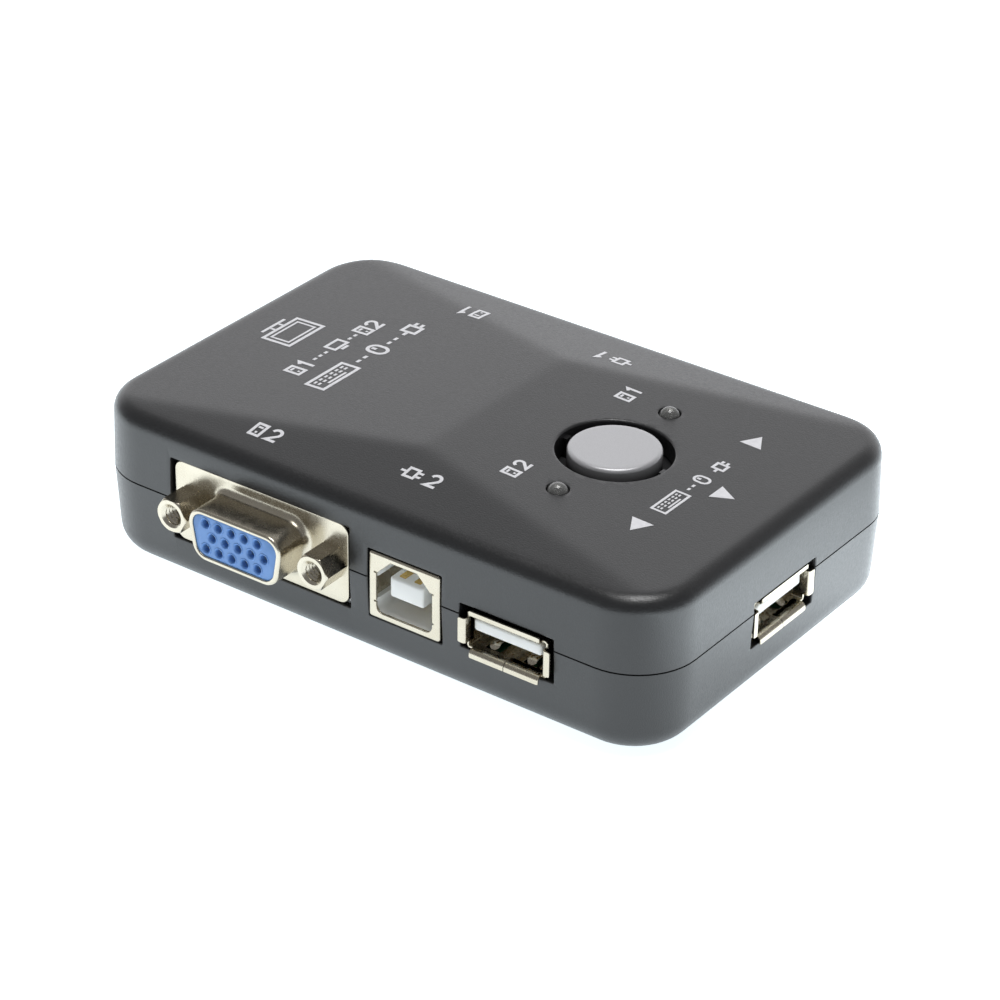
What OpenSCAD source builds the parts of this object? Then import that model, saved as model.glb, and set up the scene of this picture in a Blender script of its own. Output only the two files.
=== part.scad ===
// Desktop KVM switch: two computers share one monitor, keyboard and mouse.
// A two-piece moulded case holds one circuit board with eight sockets, a push switch and two lights.
// Millimetres. +X is the single USB end, -Y is the side for computer two, +Z is up.
// The origin is on the surface it stands on, under the middle of the whole object.

/* [Case] */
// Length of the case at the parting line
case_l = 97.3; // [96:0.1:104]
// Width of the case at the parting line
case_w = 62.7; // [62:0.1:68]
// Radius of the four corners seen from above
corner_r = 9.5; // [8:0.1:10]
// Height of the joint between the two case halves
part_z = 13.5; // [13.4:0.1:13.6]
// Height of the top surface at its rim
rim_z = 24.4; // [24:0.1:25]
// Height of the cross ridge at mid-length
ridge_z = 26.2; // [25.6:0.1:27]
// Half length of the flat stretch of the ridge, across the case
ridge_half = 16.45; // [14:0.1:18]
// Wall thickness of both case halves
wall = 2.0; // [1.8:0.1:2.2]
// Radius of the top rim
top_round = 2.5; // [2.2:0.1:2.8]
// Radius of the bottom rim
bottom_round = 4.0; // [3.5:0.1:4.5]
// Height of the moulded corner pads that it stands on
pad_h = 0.35; // [0.2:0.05:0.6]

/* [Button and lights] */
// Distance of the button from the middle of the case, towards the single USB end
button_x = 20.4; // [19.5:0.1:21]
// Diameter of the button's face
button_d = 13.2; // [12:0.1:13.4]
// Diameter of the opening in the top cover
well_d = 16.5; // [16.4:0.1:17]
// Height of the button's face when it isn't pressed
button_z = 25.95; // [25.8:0.05:26.1]
// How far the button travels
button_travel = 1.2; // [0.5:0.1:1.3]
// Distance of each light from the button's centre
light_y = 13.4; // [13:0.1:14]
// Diameter of a light
light_d = 3.0; // [2.8:0.1:3.1]

/* [Monitor sockets] */
// Place of the side monitor sockets along the case
vga_x = -17.05; // [-17.5:0.05:-16.8]
// Width of the metal flange
flange_w = 30.8; // [30.5:0.1:31]
// Height of the metal flange
flange_h = 12.5; // [12.3:0.1:12.6]
// How far the flange sits behind the case wall
flange_recess = 0.5; // [0.4:0.1:0.8]
// How far the D-shaped shell stands out from the flange
snout_len = 5.8; // [5.5:0.1:6]
// Distance between the two jackscrews
screw_gap = 24.99; // [24.9:0.01:25.1]
// Radius of the jackscrew threads' bore
screw_bore_r = 1.14; // [1.1:0.01:1.2]
// How far the jackscrews stand out from the flange
screw_len = 4.4; // [4:0.1:5]

/* [USB sockets] */
// Place of the square computer sockets along the case
square_x = 8.17; // [8:0.05:8.4]
// Place of the flat side sockets along the case
flat_x = 25.1; // [25:0.05:25.2]
// Height of the middle of the flat sockets
flat_z = 11.4; // [11.35:0.01:11.45]
// How far the flat side sockets stand out from the case wall
flat_proud = 0.55; // [0.5:0.05:0.6]

/* [Circuit board] */
// Height of the board's top face
board_z = 7.2; // [7.15:0.01:7.2]
// Thickness of the board
board_t = 1.6; // [1.5:0.1:1.6]

/* [Hidden] */
$fn = 64;

// The one monitor socket that sticks out of an end moves the whole object's middle by half of that
case_x = (snout_len - flange_recess) / 2;
eps = 0.01;
top_draft = 0.2;
bottom_draft = 0.5;
lip_h = 1.2;
lip_t = 0.9;
lip_gap = 0.1;

// Case screws and the posts around them
screw_x = 40.5;
screw_y = 21;
post_r = 3;
self_tap_r = 1.25;
pilot_r = 1.27;
head_r = 2.4;
pocket_r = 2.75;
pocket_top = 3.4;
foot_post_r = 4;

// Button flange and the guide round it
flange_r = 9.1;
flange_z = 22.0;
flange_t = 1.2;
flange_gap = 0.3;
guide_r = 9.5;
guide_bottom = flange_z - flange_t - button_travel;
rib_w = 1.2;
rib_in = 0.6;
light_gap = 0.08;

// Push switch
switch_w = 8.5;
housing_top = 15.2;
cavity_floor = 8.7;
cavity_r = 3.3;
plunger_flange_z = 14.9;
plunger_flange_t = 1.5;
neck_r = 1.95;
post_w = 3.3;
post_top = 19.9;
spring_r = 2.2;
spring_wire = 0.35;
spring_turns = 6;

// Board
board_l = 92;
board_w = 57.6;
tail_z = 3.9;
tail_r = 0.32;
tail_w = 0.5;
plated_r = 0.5;

// Monitor socket
vga_z = part_z;
plate_t = 0.8;
contact_pitch = 2.29;
row_pitch = 1.98;
row_shift = 0.57;
rows = [1, 0, -1];
body_depth = 8;
// Corner centres and corner radius of the D-shaped shell; the wide side is on top
d_r = 2.5;
d_top = 5.62;
d_low = 5.13;
d_h = 1.45;

// Square USB socket
square_w = 12.0;
square_bottom = 7.5;
square_top = 17.75;
square_depth = 16;
square_sheet = 0.35;
square_mouth_z = 12.72;

// Flat USB socket
flat_w = 13.1;
flat_h = 5.72;
flat_sheet = 0.3;
flat_depth = 13.6;
lip_len = 0.8;
flat_pins = [-3.5, -1, 1, 3.5];

plastic_grey = [0.22, 0.23, 0.24];
nickel = [0.78, 0.76, 0.70];
tin = [0.75, 0.75, 0.74];
gold = [0.83, 0.65, 0.25];
cream = [0.90, 0.90, 0.86];
chip_black = [0.09, 0.09, 0.10];

// ---------- Shared shapes ----------

// Box centred in x and y, standing on z = low
module block(w, d, low, high) {
    translate([-w / 2, -d / 2, low]) cube([w, d, high - low]);
}

// Convex outline with round corners: the points are the corner circles' centres, anticlockwise
module round_outline(points, r) {
    count = len(points);
    polygon([
        for (i = [0:count - 1])
            let (a = points[i], b = points[(i + 1) % count])
            let (run = (b - a) / norm(b - a), out = [run[1], -run[0]])
            each [a + out * r, b + out * r]
    ]);
    for (p = points)
        translate(p) circle(r);
}

// Rectangle with round corners, centred
module round_rect(w, h, r) {
    x = w / 2 - r;
    y = h / 2 - r;
    round_outline([[-x, -y], [x, -y], [x, y], [-x, y]], r);
}

// Turns an outline drawn in x and z into a plate from y = front to y = back
module upright(front, back) {
    translate([0, back, 0]) rotate([90, 0, 0]) linear_extrude(back - front) children();
}

// Places are measured from the middle of the case
module place() {
    translate([case_x, 0, 0]) children();
}

// Socket places. Each socket is drawn with its mouth towards -Y and the case wall at y = 0
module side_1(x) { translate([x, case_w / 2, 0]) rotate([0, 0, 180]) children(); }
module side_2(x) { translate([x, -case_w / 2, 0]) children(); }
module monitor_end() { translate([-case_l / 2, 0, 0]) rotate([0, 0, -90]) children(); }
module usb_end() { translate([case_l / 2, 0, 0]) rotate([0, 0, 90]) children(); }

module every_vga() {
    side_1(vga_x) children();
    side_2(vga_x) children();
    monitor_end() children();
}

module every_square() {
    side_1(square_x) children();
    side_2(square_x) children();
}

module every_side_flat() {
    side_1(flat_x) translate([0, -flat_proud, 0]) children();
    side_2(flat_x) translate([0, -flat_proud, 0]) children();
}

module every_flat() {
    every_side_flat() children();
    usb_end() children();
}

module at_screws() {
    for (sx = [-1, 1], sy = [-1, 1])
        translate([sx * screw_x, sy * screw_y, 0]) children();
}

// ---------- Case ----------

// Half cross-section of a case half: a drafted wall that ends in a round rim
module wall_profile(reach, height, round_r, draft) {
    inner = reach - draft - round_r;
    polygon([
        [0, 0], [reach, 0], [reach - draft, height - round_r],
        [inner, height - round_r], [inner, height], [0, height]
    ]);
    translate([inner, height - round_r]) circle(round_r);
}

// Case half standing on the parting plane, shrunk all round by inset
module half_form(height, round_r, draft, inset) {
    r = corner_r - inset;
    x = case_l / 2 - inset;
    y = case_w / 2 - inset;
    for (sx = [-1, 1], sy = [-1, 1])
        translate([sx * (x - r), sy * (y - r), 0]) rotate_extrude() wall_profile(r, height, round_r, draft);
    for (turn = [0, 180]) {
        rotate([90, 0, 90 + turn]) linear_extrude(2 * (x - r), center = true)
            wall_profile(y, height, round_r, draft);
        rotate([90, 0, turn]) linear_extrude(2 * (y - r), center = true)
            wall_profile(x, height, round_r, draft);
    }
}

// Low four-sided roof with its ridge across the case at mid-length
module roof_form(inset) {
    x = case_l / 2 - top_round - top_draft - 0.1 - inset;
    y = case_w / 2 - top_round - top_draft - 0.1 - inset;
    low = rim_z - 1 - inset;
    edge = rim_z - inset;
    top = ridge_z - inset;
    intersection() {
        rotate([90, 0, 90]) linear_extrude(case_l, center = true)
            polygon([[-y, low], [y, low], [y, edge], [ridge_half, top], [-ridge_half, top], [-y, edge]]);
        rotate([90, 0, 0]) linear_extrude(case_w, center = true)
            polygon([[-x, low], [x, low], [x, edge], [0, top], [-x, edge]]);
        translate([0, 0, low]) linear_extrude(ridge_z)
            round_rect(2 * x, 2 * y, corner_r - top_round - 0.3 - inset);
    }
}

module top_form(inset, round_r) {
    translate([0, 0, part_z]) half_form(rim_z - inset - part_z, round_r, top_draft, inset);
    roof_form(inset);
}

module bottom_form(inset, round_r) {
    translate([0, 0, part_z]) mirror([0, 0, 1])
        half_form(part_z - pad_h - inset, round_r, bottom_draft, inset);
}

// Two upright ribs in the button's well, which keep it from turning
module guide_ribs(gap, height) {
    inner = well_d / 2 - rib_in - gap;
    for (turn = [0, 180]) rotate([0, 0, turn])
        translate([(inner + guide_r + 1) / 2, 0, 0]) block(guide_r + 1 - inner, rib_w + 2 * gap, 0, height);
}

// Openings in the case walls for every socket
module socket_openings() {
    gap = 0.25;
    flat_gap = 1.1;
    square_h = square_top - square_bottom;
    every_vga() upright(-1, wall + 3) translate([0, vga_z])
        square([flange_w + 0.9, flange_h + gap], center = true);
    every_square() upright(-1, wall + 3) translate([0, square_bottom + square_h / 2])
        square([square_w + 2 * gap, square_h + 2 * gap], center = true);
    every_side_flat() upright(-1, wall + 3) translate([-flat_w / 2 - flat_gap, 8.3])
        square([flat_w + 2 * flat_gap, 6.85]);
    usb_end() upright(-1, wall + 3) translate([-flat_w / 2 - flat_gap, 7.85])
        square([flat_w + 2 * flat_gap, 7.15]);
}

// Tongue round the joint that keeps the two halves in line
module joint_lip(gap) {
    inset = wall - lip_t - gap;
    translate([0, 0, part_z - eps]) linear_extrude(lip_h + gap + eps)
        round_rect(case_l - 2 * inset, case_w - 2 * inset, corner_r - inset);
}

module top_cover() {
    place() color(plastic_grey) difference() {
        union() {
            difference() {
                top_form(0, top_round);
                top_form(wall, top_round - wall);
                joint_lip(lip_gap);
            }
            at_screws() translate([0, 0, board_z + 0.05]) cylinder(h = rim_z - 1 - board_z, r = post_r);
            translate([button_x, 0, guide_bottom]) cylinder(h = rim_z - guide_bottom, r = guide_r + 1.3);
        }
        // Well for the button's face, and the wider guide for its flange below, with two ribs left in
        translate([button_x, 0, guide_bottom]) difference() {
            union() {
                translate([0, 0, -1]) cylinder(h = flange_z + flange_gap - guide_bottom + 1, r = guide_r);
                cylinder(h = 10, r = well_d / 2);
            }
            guide_ribs(0, rim_z + 0.4 - guide_bottom);
        }
        for (s = [-1, 1]) translate([button_x, s * light_y, part_z])
            cylinder(h = 20, r = light_d / 2 + light_gap);
        at_screws() translate([0, 0, board_z - 1]) cylinder(h = 9, r = pilot_r);
        socket_openings();
    }
}

module bottom_cover() {
    place() color(plastic_grey) difference() {
        union() {
            difference() {
                union() {
                    bottom_form(0, bottom_round);
                    joint_lip(0);
                    corner_pads();
                }
                bottom_form(wall, bottom_round - wall);
                translate([0, 0, part_z - eps]) linear_extrude(lip_h + 1)
                    round_rect(case_l - 2 * wall, case_w - 2 * wall, corner_r - wall);
            }
            at_screws() translate([0, 0, pad_h + wall / 2])
                cylinder(h = board_z - board_t - pad_h - wall / 2, r = foot_post_r);
        }
        at_screws() {
            translate([0, 0, -1]) cylinder(h = pocket_top + 1, r = pocket_r);
            cylinder(h = board_z, r = self_tap_r + 0.25);
        }
        socket_openings();
    }
}

module corner_pads() {
    pad_x = 37.5;
    pad_y = 14.5;
    rim = bottom_draft + bottom_round;
    intersection() {
        linear_extrude(pad_h + eps)
            round_rect(case_l - 2 * rim, case_w - 2 * rim, corner_r - rim);
        for (sx = [-1, 1], sy = [-1, 1])
            translate([sx * (pad_x + 10), sy * (pad_y + 10), 0]) block(20, 20, 0, 1);
    }
}

module case_screws() {
    head_low = 1.6;
    place() color(tin) at_screws() difference() {
        union() {
            translate([0, 0, head_low]) cylinder(h = pocket_top - head_low, r = head_r);
            translate([0, 0, head_low]) cylinder(h = 13, r = self_tap_r);
        }
        for (turn = [0, 90]) rotate([0, 0, turn]) block(2.6, 0.5, head_low - 1, head_low + 0.9);
    }
}

// ---------- Button and switch ----------

module select_button() {
    edge = 0.8;
    face_t = 1.6;
    r = button_d / 2;
    place() translate([button_x, 0, 0]) color([0.75, 0.75, 0.76]) difference() {
        union() {
            rotate_extrude() {
                translate([0, flange_z - flange_t]) square([r, button_z - edge - flange_z + flange_t]);
                translate([0, button_z - 2 * edge]) square([r - edge, 2 * edge]);
                translate([r - edge, button_z - edge]) circle(edge);
            }
            translate([0, 0, flange_z - flange_t]) cylinder(h = flange_t, r = flange_r);
            translate([0, 0, 17.4]) cylinder(h = flange_z - 17.4, r = 3.2);
        }
        // Socket for the switch post
        block(post_w, post_w, 17, post_top);
        // Hollow under the face, round the socket
        difference() {
            translate([0, 0, flange_z - flange_t - 1])
                cylinder(h = button_z - face_t - flange_z + flange_t + 1, r = r - 1.2);
            translate([0, 0, 17]) cylinder(h = 10, r = 3.2);
        }
        translate([0, 0, flange_z - flange_t - 1]) guide_ribs(flange_gap, flange_t + 2);
    }
}

module switch_plunger() {
    place() translate([button_x, 0, 0]) color(chip_black) {
        translate([0, 0, plunger_flange_z - plunger_flange_t])
            cylinder(h = plunger_flange_t, r = cavity_r - 0.3);
        translate([0, 0, plunger_flange_z - eps]) cylinder(h = 17 - plunger_flange_z + eps, r = neck_r);
        block(post_w, post_w, 17 - eps, post_top);
    }
}

// Coil spring: flat rings joined by short posts on alternate sides
module switch_spring() {
    low = cavity_floor;
    length = plunger_flange_z - plunger_flange_t - low;
    pitch = (length - spring_wire) / spring_turns;
    place() translate([button_x, 0, low]) color(nickel) {
        for (i = [0:spring_turns])
            translate([0, 0, i * pitch + spring_wire / 2]) rotate_extrude() translate([spring_r, 0])
                circle(spring_wire / 2, $fn = 16);
        for (i = [0:spring_turns - 1])
            rotate([0, 0, 180 * i]) translate([spring_r, 0, i * pitch + spring_wire / 2])
                cylinder(h = pitch, r = spring_wire / 2 * 0.9, $fn = 16);
    }
}

module switch_cover() {
    place() translate([button_x, 0, 0]) color(tin) difference() {
        block(switch_w, switch_w, housing_top, housing_top + 0.5);
        translate([0, 0, housing_top - 1]) cylinder(h = 3, r = neck_r + 0.25);
    }
}

module switch_pin_places() {
    for (x = [-2.5, 0, 2.5], y = [-2.8, 2.8]) translate([x, y, 0]) children();
}

module switch_housing() {
    place() translate([button_x, 0, 0]) color([0.16, 0.2, 0.3]) difference() {
        block(switch_w, switch_w, board_z, housing_top);
        translate([0, 0, cavity_floor]) cylinder(h = 10, r = cavity_r);
        switch_pin_places() translate([0, 0, board_z - 1]) cylinder(h = 1.8, r = tail_r);
    }
}

module switch_pins() {
    place() translate([button_x, 0, 0]) color(tin) switch_pin_places()
        translate([0, 0, tail_z]) cylinder(h = board_z + 0.8 - tail_z, r = tail_r);
}

// Clear lamp with a collar and a domed end
module light(side) {
    r = light_d / 2;
    top = 26.3;
    collar_z = 20;
    place() translate([button_x, side * light_y, 0]) color([0.75, 0.75, 0.72]) difference() {
        rotate_extrude() {
            translate([0, collar_z]) square([r + 0.4, 1]);
            translate([0, collar_z]) square([r, top - r - collar_z]);
            intersection() {
                translate([0, top - r]) circle(r);
                translate([0, top - r - 1]) square([r, r + 1]);
            }
        }
        light_lead_pair();
    }
}

module light_lead_pair() {
    for (x = [-1.27, 1.27]) translate([x, 0, 0]) block(0.5, 0.5, tail_z, 20.9);
}

module light_leads() {
    place() color(tin) for (side = [-1, 1]) translate([button_x, side * light_y, 0]) light_lead_pair();
}

// ---------- Circuit board ----------

module plated(points) {
    for (p = points) translate([p[0], p[1], 0]) cylinder(h = 2 * board_z, r = plated_r);
}

vga_tails = [
    for (row = [0:2], i = [-2:2])
        [i * contact_pitch + (row == 1 ? row_shift : -row_shift), 13.8 - row * 1.9]
];
square_tails = [for (x = [-1.25, 1.25], y = [10.5, 12.5]) [x, y]];
flat_tails = [for (x = flat_pins) [x, 12.2]];

module circuit_board() {
    place() color([0.10, 0.33, 0.20]) difference() {
        translate([0, 0, board_z - board_t]) linear_extrude(board_t) round_rect(board_l, board_w, 7.2);
        at_screws() cylinder(h = 2 * board_z, r = self_tap_r + 0.3);
        every_vga() {
            plated(vga_tails);
            vga_pegs(0.15);
        }
        every_square() {
            plated(square_tails);
            square_pegs(0.15);
        }
        every_flat() {
            plated(flat_tails);
            flat_pegs(0.15);
        }
        translate([button_x, 0, 0]) switch_pin_places() cylinder(h = 2 * board_z, r = plated_r);
        for (side = [-1, 1], x = [-1.27, 1.27])
            translate([button_x + x, side * light_y, 0]) cylinder(h = 2 * board_z, r = plated_r);
    }
}

// Chip with gull-wing leads along its two long sides; length runs along x
module small_outline_chip(l, w, h, pins) {
    pitch = 1.27;
    color(chip_black) block(l, w, board_z + 0.1, board_z + h);
    color(tin) for (i = [0:pins / 2 - 1], s = [-1, 1])
        translate([(i - (pins / 2 - 1) / 2) * pitch, s * (w / 2 + 0.5), 0]) {
            block(0.42, 1.2, board_z, board_z + 0.18);
            translate([0, -s * 0.4, 0]) block(0.42, 0.4, board_z, board_z + h * 0.55);
        }
}

module video_switch_chips() {
    place() for (y = [-8, 0, 8]) translate([-26, y, 0]) small_outline_chip(10, 3.9, 1.6, 16);
}

module usb_hub_chip() {
    place() translate([5.5, 3, 0]) {
        color(chip_black) block(7, 7, board_z + 0.1, board_z + 1.5);
        color(tin) for (turn = [0:90:270]) rotate([0, 0, turn]) for (i = [-5.5:5.5])
            translate([i * 0.5, 4, 0]) block(0.24, 1.2, board_z, board_z + 0.18);
        color(tin) for (turn = [0:90:270]) rotate([0, 0, turn]) for (i = [-5.5:5.5])
            translate([i * 0.5, 3.6, 0]) block(0.24, 0.3, board_z, board_z + 0.7);
    }
}

module control_chip() {
    place() translate([-9, -3, 0]) small_outline_chip(12.8, 7.5, 2.3, 20);
}

module crystal() {
    place() translate([6, -6.5, 0]) color(tin) {
        translate([0, 0, board_z]) linear_extrude(0.5) round_rect(11.2, 4.7, 2.3);
        translate([0, 0, board_z + 0.5 - eps]) linear_extrude(3.2) round_rect(10.2, 3.8, 1.85);
    }
}

module electrolytic_capacitors() {
    place() for (p = [[-10, 9.5], [-2.5, 9.5], [32.5, 11.5]]) translate([p[0], p[1], 0])
        color([0.14, 0.16, 0.22]) rotate_extrude() {
            translate([0, board_z]) square([2.5, 0.6]);
            translate([0, board_z + 0.6]) square([2.35, 0.5]);
            translate([0, board_z + 1.1]) square([2.5, 5.9]);
        }
}

// Small two-ended chip part
module chip_part(l, w, h) {
    color(tin) for (s = [-1, 1]) translate([s * (l / 2 - 0.2), 0, 0]) block(0.4, w, board_z, board_z + h);
    block(l - 0.8, w, board_z, board_z + h);
}

module ceramic(x, y, turn) {
    translate([x, y, 0]) rotate([0, 0, turn]) color([0.62, 0.5, 0.36]) chip_part(2, 1.25, 0.9);
}

module chip_capacitors() {
    place() {
        for (y = [-12, -4, 4, 12]) ceramic(-18.8, y, 90);
        for (x = [-12, -9, -6]) ceramic(x, 4.2, 0);
        for (y = [-3, 3]) ceramic(12.6, y, 90);
    }
}

module resistor(x, y, turn) {
    translate([x, y, 0]) rotate([0, 0, turn]) color(chip_black) chip_part(2, 1.25, 0.5);
}

module chip_resistors() {
    place() {
        for (i = [0:5], y = [-13, 13]) resistor(-31 + 2 * i, y, 90);
        for (i = [0:4]) resistor(-13 + 2.2 * i, -11.5, 90);
        for (y = [-9.5, 9.5]) resistor(28.5, y, 0);
    }
}

// ---------- Monitor socket ----------

module d_outline(grow) {
    translate([0, vga_z])
        round_outline([[-d_low, -d_h], [d_low, -d_h], [d_top, d_h], [-d_top, d_h]], d_r + grow);
}

module at_jackscrews() {
    for (s = [-1, 1]) translate([s * screw_gap / 2, 0, vga_z]) rotate([90, 0, 0]) children();
}

module vga_shell() {
    front = flange_recess;
    color(nickel) difference() {
        union() {
            upright(front, front + plate_t) translate([0, vga_z]) round_rect(flange_w, flange_h, 1.5);
            upright(front - snout_len, front + eps) d_outline(0);
            upright(front - 0.4, front + eps) d_outline(0.45);
        }
        upright(front - snout_len - 1, front + plate_t + 1) d_outline(-0.4);
        at_jackscrews() cylinder(h = 10, r = 1.6, center = true);
    }
}

// Middle of each contact in x and z
vga_contact_places = [
    for (row = [0:2], i = [-2:2])
        [i * contact_pitch + (row == 1 ? row_shift : -row_shift), vga_z + rows[row] * row_pitch]
];

module vga_insulator() {
    front = flange_recess - snout_len + 0.25;
    color([0.30, 0.47, 0.82]) difference() {
        union() {
            upright(front, flange_recess + plate_t + eps) d_outline(-0.4);
            upright(flange_recess + plate_t, body_depth) translate([0, vga_z]) round_rect(17.4, 10.4, 0.8);
            upright(4.5, body_depth) translate([0, (board_z + vga_z) / 2])
                square([17.4, vga_z - board_z], center = true);
        }
        for (p = vga_contact_places)
            translate([p[0], front - 1, p[1]]) rotate([-90, 0, 0])
                cylinder(h = body_depth - front + 2, r = 0.55);
    }
}

module vga_contacts() {
    front = flange_recess - snout_len + 1.1;
    color(gold) for (row = [0:2], i = [0:4]) {
        p = vga_contact_places[row * 5 + i];
        back = vga_tails[row * 5 + i][1];
        translate([p[0], 0, p[1]]) rotate([-90, 0, 0]) difference() {
            translate([0, 0, front]) cylinder(h = body_depth - front, r = 0.54);
            translate([0, 0, front - 1]) cylinder(h = 6, r = 0.38);
        }
        translate([p[0], (body_depth + back) / 2 - 0.1, 0])
            block(tail_w, back - body_depth + 0.2 + tail_w, p[1] - tail_w / 2, p[1] + tail_w / 2);
        translate([p[0], back, 0]) block(tail_w, tail_w, tail_z, p[1]);
    }
}

module vga_jackscrews() {
    hex_flats = 4.76;
    color(nickel) at_jackscrews() translate([0, 0, -flange_recess]) difference() {
        union() {
            intersection() {
                rotate([0, 0, 30]) cylinder(h = screw_len, d = hex_flats / cos(30), $fn = 6);
                rotate_extrude()
                    polygon([[0, 0], [3, 0], [3, screw_len - 0.5], [2.3, screw_len], [0, screw_len]]);
            }
            translate([0, 0, -4]) cylinder(h = 4 + eps, r = 1.4);
        }
        translate([0, 0, -1.2]) cylinder(h = screw_len + 2, r = screw_bore_r);
    }
}

module vga_pegs(extra) {
    for (s = [-1, 1]) translate([s * screw_gap / 2, 6.8, tail_z])
        cylinder(h = board_z - tail_z + 0.4, r = 1.2 + extra);
}

module vga_bracket() {
    back = flange_recess + plate_t;
    bracket_w = 5.4;
    foot_end = 8.6;
    color(tin) {
        difference() {
            for (s = [-1, 1]) translate([s * screw_gap / 2, 0, 0]) {
                upright(back, back + plate_t) translate([-bracket_w / 2, board_z])
                    square([bracket_w, flange_h / 2 + vga_z - board_z]);
                translate([0, (back + foot_end) / 2, 0])
                    block(bracket_w, foot_end - back, board_z, board_z + plate_t);
            }
            at_jackscrews() cylinder(h = 20, r = 1.42, center = true);
        }
        vga_pegs(0);
    }
}

// ---------- Square USB socket ----------

module square_mouth(grow) {
    side = 4.72;
    top = 4.23;
    cut = 2.5;
    translate([0, square_mouth_z])
        polygon([
            [-side + 1 - grow, -top - grow], [side - 1 + grow, -top - grow], [side + grow, -top + 1 - grow],
            [side + grow, top - cut + grow * 0.4], [side - cut + grow * 0.4, top + grow],
            [-side + cut - grow * 0.4, top + grow], [-side - grow, top - cut + grow * 0.4],
            [-side - grow, -top + 1 - grow]
        ]);
}

module square_pegs(extra) {
    for (s = [-1, 1]) translate([s * (square_w / 2 - 0.4), 10.5, tail_z])
        cylinder(h = square_bottom - tail_z + 0.5, r = 0.9 + extra);
}

module usb_square_shell() {
    middle = (square_bottom + square_top) / 2;
    height = square_top - square_bottom;
    color(nickel) {
        difference() {
            upright(0, square_depth) translate([0, middle]) round_rect(square_w, height, 0.6);
            upright(square_sheet, square_depth + 1) translate([0, middle])
                square([square_w - 2 * square_sheet, height - 2 * square_sheet], center = true);
            upright(-1, 1) square_mouth(0);
            translate([0, 11.5, 0]) block(4.5, 4, 0, square_bottom + 1);
        }
        difference() {
            square_pegs(0);
            translate([0, 10, 0]) block(square_w - 2 * square_sheet, 10, 0, 20);
        }
    }
}

module usb_square_insulator() {
    middle = (square_bottom + square_top) / 2;
    clear = 2 * square_sheet + 0.04;
    color(cream) difference() {
        union() {
            difference() {
                upright(square_sheet, square_depth - 0.2) translate([0, middle])
                    square([square_w - clear, square_top - square_bottom - clear], center = true);
                upright(0, 9.3) square_mouth(0.15);
            }
            upright(0.6, 9.4) translate([0, 12.9]) round_rect(5.65, 3.1, 0.3);
        }
        usb_square_contacts();
    }
}

// Two contacts above the tongue and two below it
module usb_square_contacts() {
    color(gold) for (x = [-1.25, 1.25], s = [-1, 1]) {
        bend_y = s == 1 ? 12.5 : 10.5;
        level = 12.9 + s * 1.55;
        translate([x, (1.4 + bend_y) / 2, level]) cube([1, bend_y - 1.4, 0.3], center = true);
        translate([x, bend_y, 0]) block(0.5, 0.5, tail_z, level + 0.15);
    }
}

// ---------- Flat USB socket ----------

// One flared lip at the mouth, drawn below the shell: rise is how far it flares
module flare_lip(width, half, rise) {
    translate([-width / 2, 0, 0]) rotate([90, 0, 90]) linear_extrude(width)
        polygon([
            [0, -half - rise], [lip_len, -half], [lip_len + 0.6, -half],
            [lip_len + 0.6, -half + flat_sheet], [lip_len, -half + flat_sheet],
            [0, -half - rise + flat_sheet]
        ]);
}

module flat_pegs(extra) {
    for (s = [-1, 1]) translate([s * (flat_w / 2 - flat_sheet), 9.5, tail_z])
        cylinder(h = flat_z - flat_h / 2 - tail_z + 0.6, r = 0.8 + extra);
}

module usb_flat_shell() {
    color(nickel) {
        difference() {
            union() {
                translate([0, 0, flat_z]) {
                    upright(lip_len, flat_depth) round_rect(flat_w, flat_h, 0.5);
                    for (turn = [0, 180]) rotate([0, turn, 0]) flare_lip(11.3, flat_h / 2, 0.6);
                    for (turn = [90, 270]) rotate([0, turn, 0]) flare_lip(3.7, flat_w / 2, 0.85);
                }
                flat_pegs(0);
            }
            translate([0, 0, flat_z]) upright(lip_len - eps, flat_depth + 1)
                square([flat_w - 2 * flat_sheet, flat_h - 2 * flat_sheet], center = true);
            // Rear of the floor is open for the insulator's foot
            translate([0, 12.1, 0]) block(10.4, 3.4, board_z - 1, flat_z - 2);
        }
        // Two spring fingers rise from the floor and lean inwards
        for (x = [-3.07, 3.07]) translate([x - 0.92, 0, flat_z - flat_h / 2 + flat_sheet - eps])
            rotate([90, 0, 90]) linear_extrude(1.84)
                polygon([[2.4, 0], [2.6, 0.75], [3.2, 0.85], [7.4, 0.3], [7.6, 0]]);
    }
}

module usb_flat_insulator() {
    inner_w = flat_w - 2 * flat_sheet - 0.04;
    inner_h = flat_h - 2 * flat_sheet - 0.04;
    color(cream) difference() {
        union() {
            translate([0, 0, flat_z]) upright(9.5, flat_depth) square([inner_w, inner_h], center = true);
            upright(1, 9.6) translate([0, flat_z + 1.0]) round_rect(11.1, 1.84, 0.5);
            translate([0, 12.1, 0]) block(10.2, 2.9, board_z, flat_z - 1);
        }
        usb_flat_contacts();
    }
}

module usb_flat_contacts() {
    level = flat_z + 1.0 - 0.92;
    color(gold) for (p = flat_tails) {
        translate([p[0], (2.2 + p[1]) / 2, level - 0.02]) cube([1, p[1] - 2.2, 0.24], center = true);
        translate([p[0], p[1], 0]) block(0.5, 0.5, tail_z, level + 0.1);
    }
}

// ---------- Sockets in their places ----------

module flat_side(side) {
    if (side == 1) place() side_1(flat_x) translate([0, -flat_proud, 0]) children();
    if (side == 2) place() side_2(flat_x) translate([0, -flat_proud, 0]) children();
}

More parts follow.
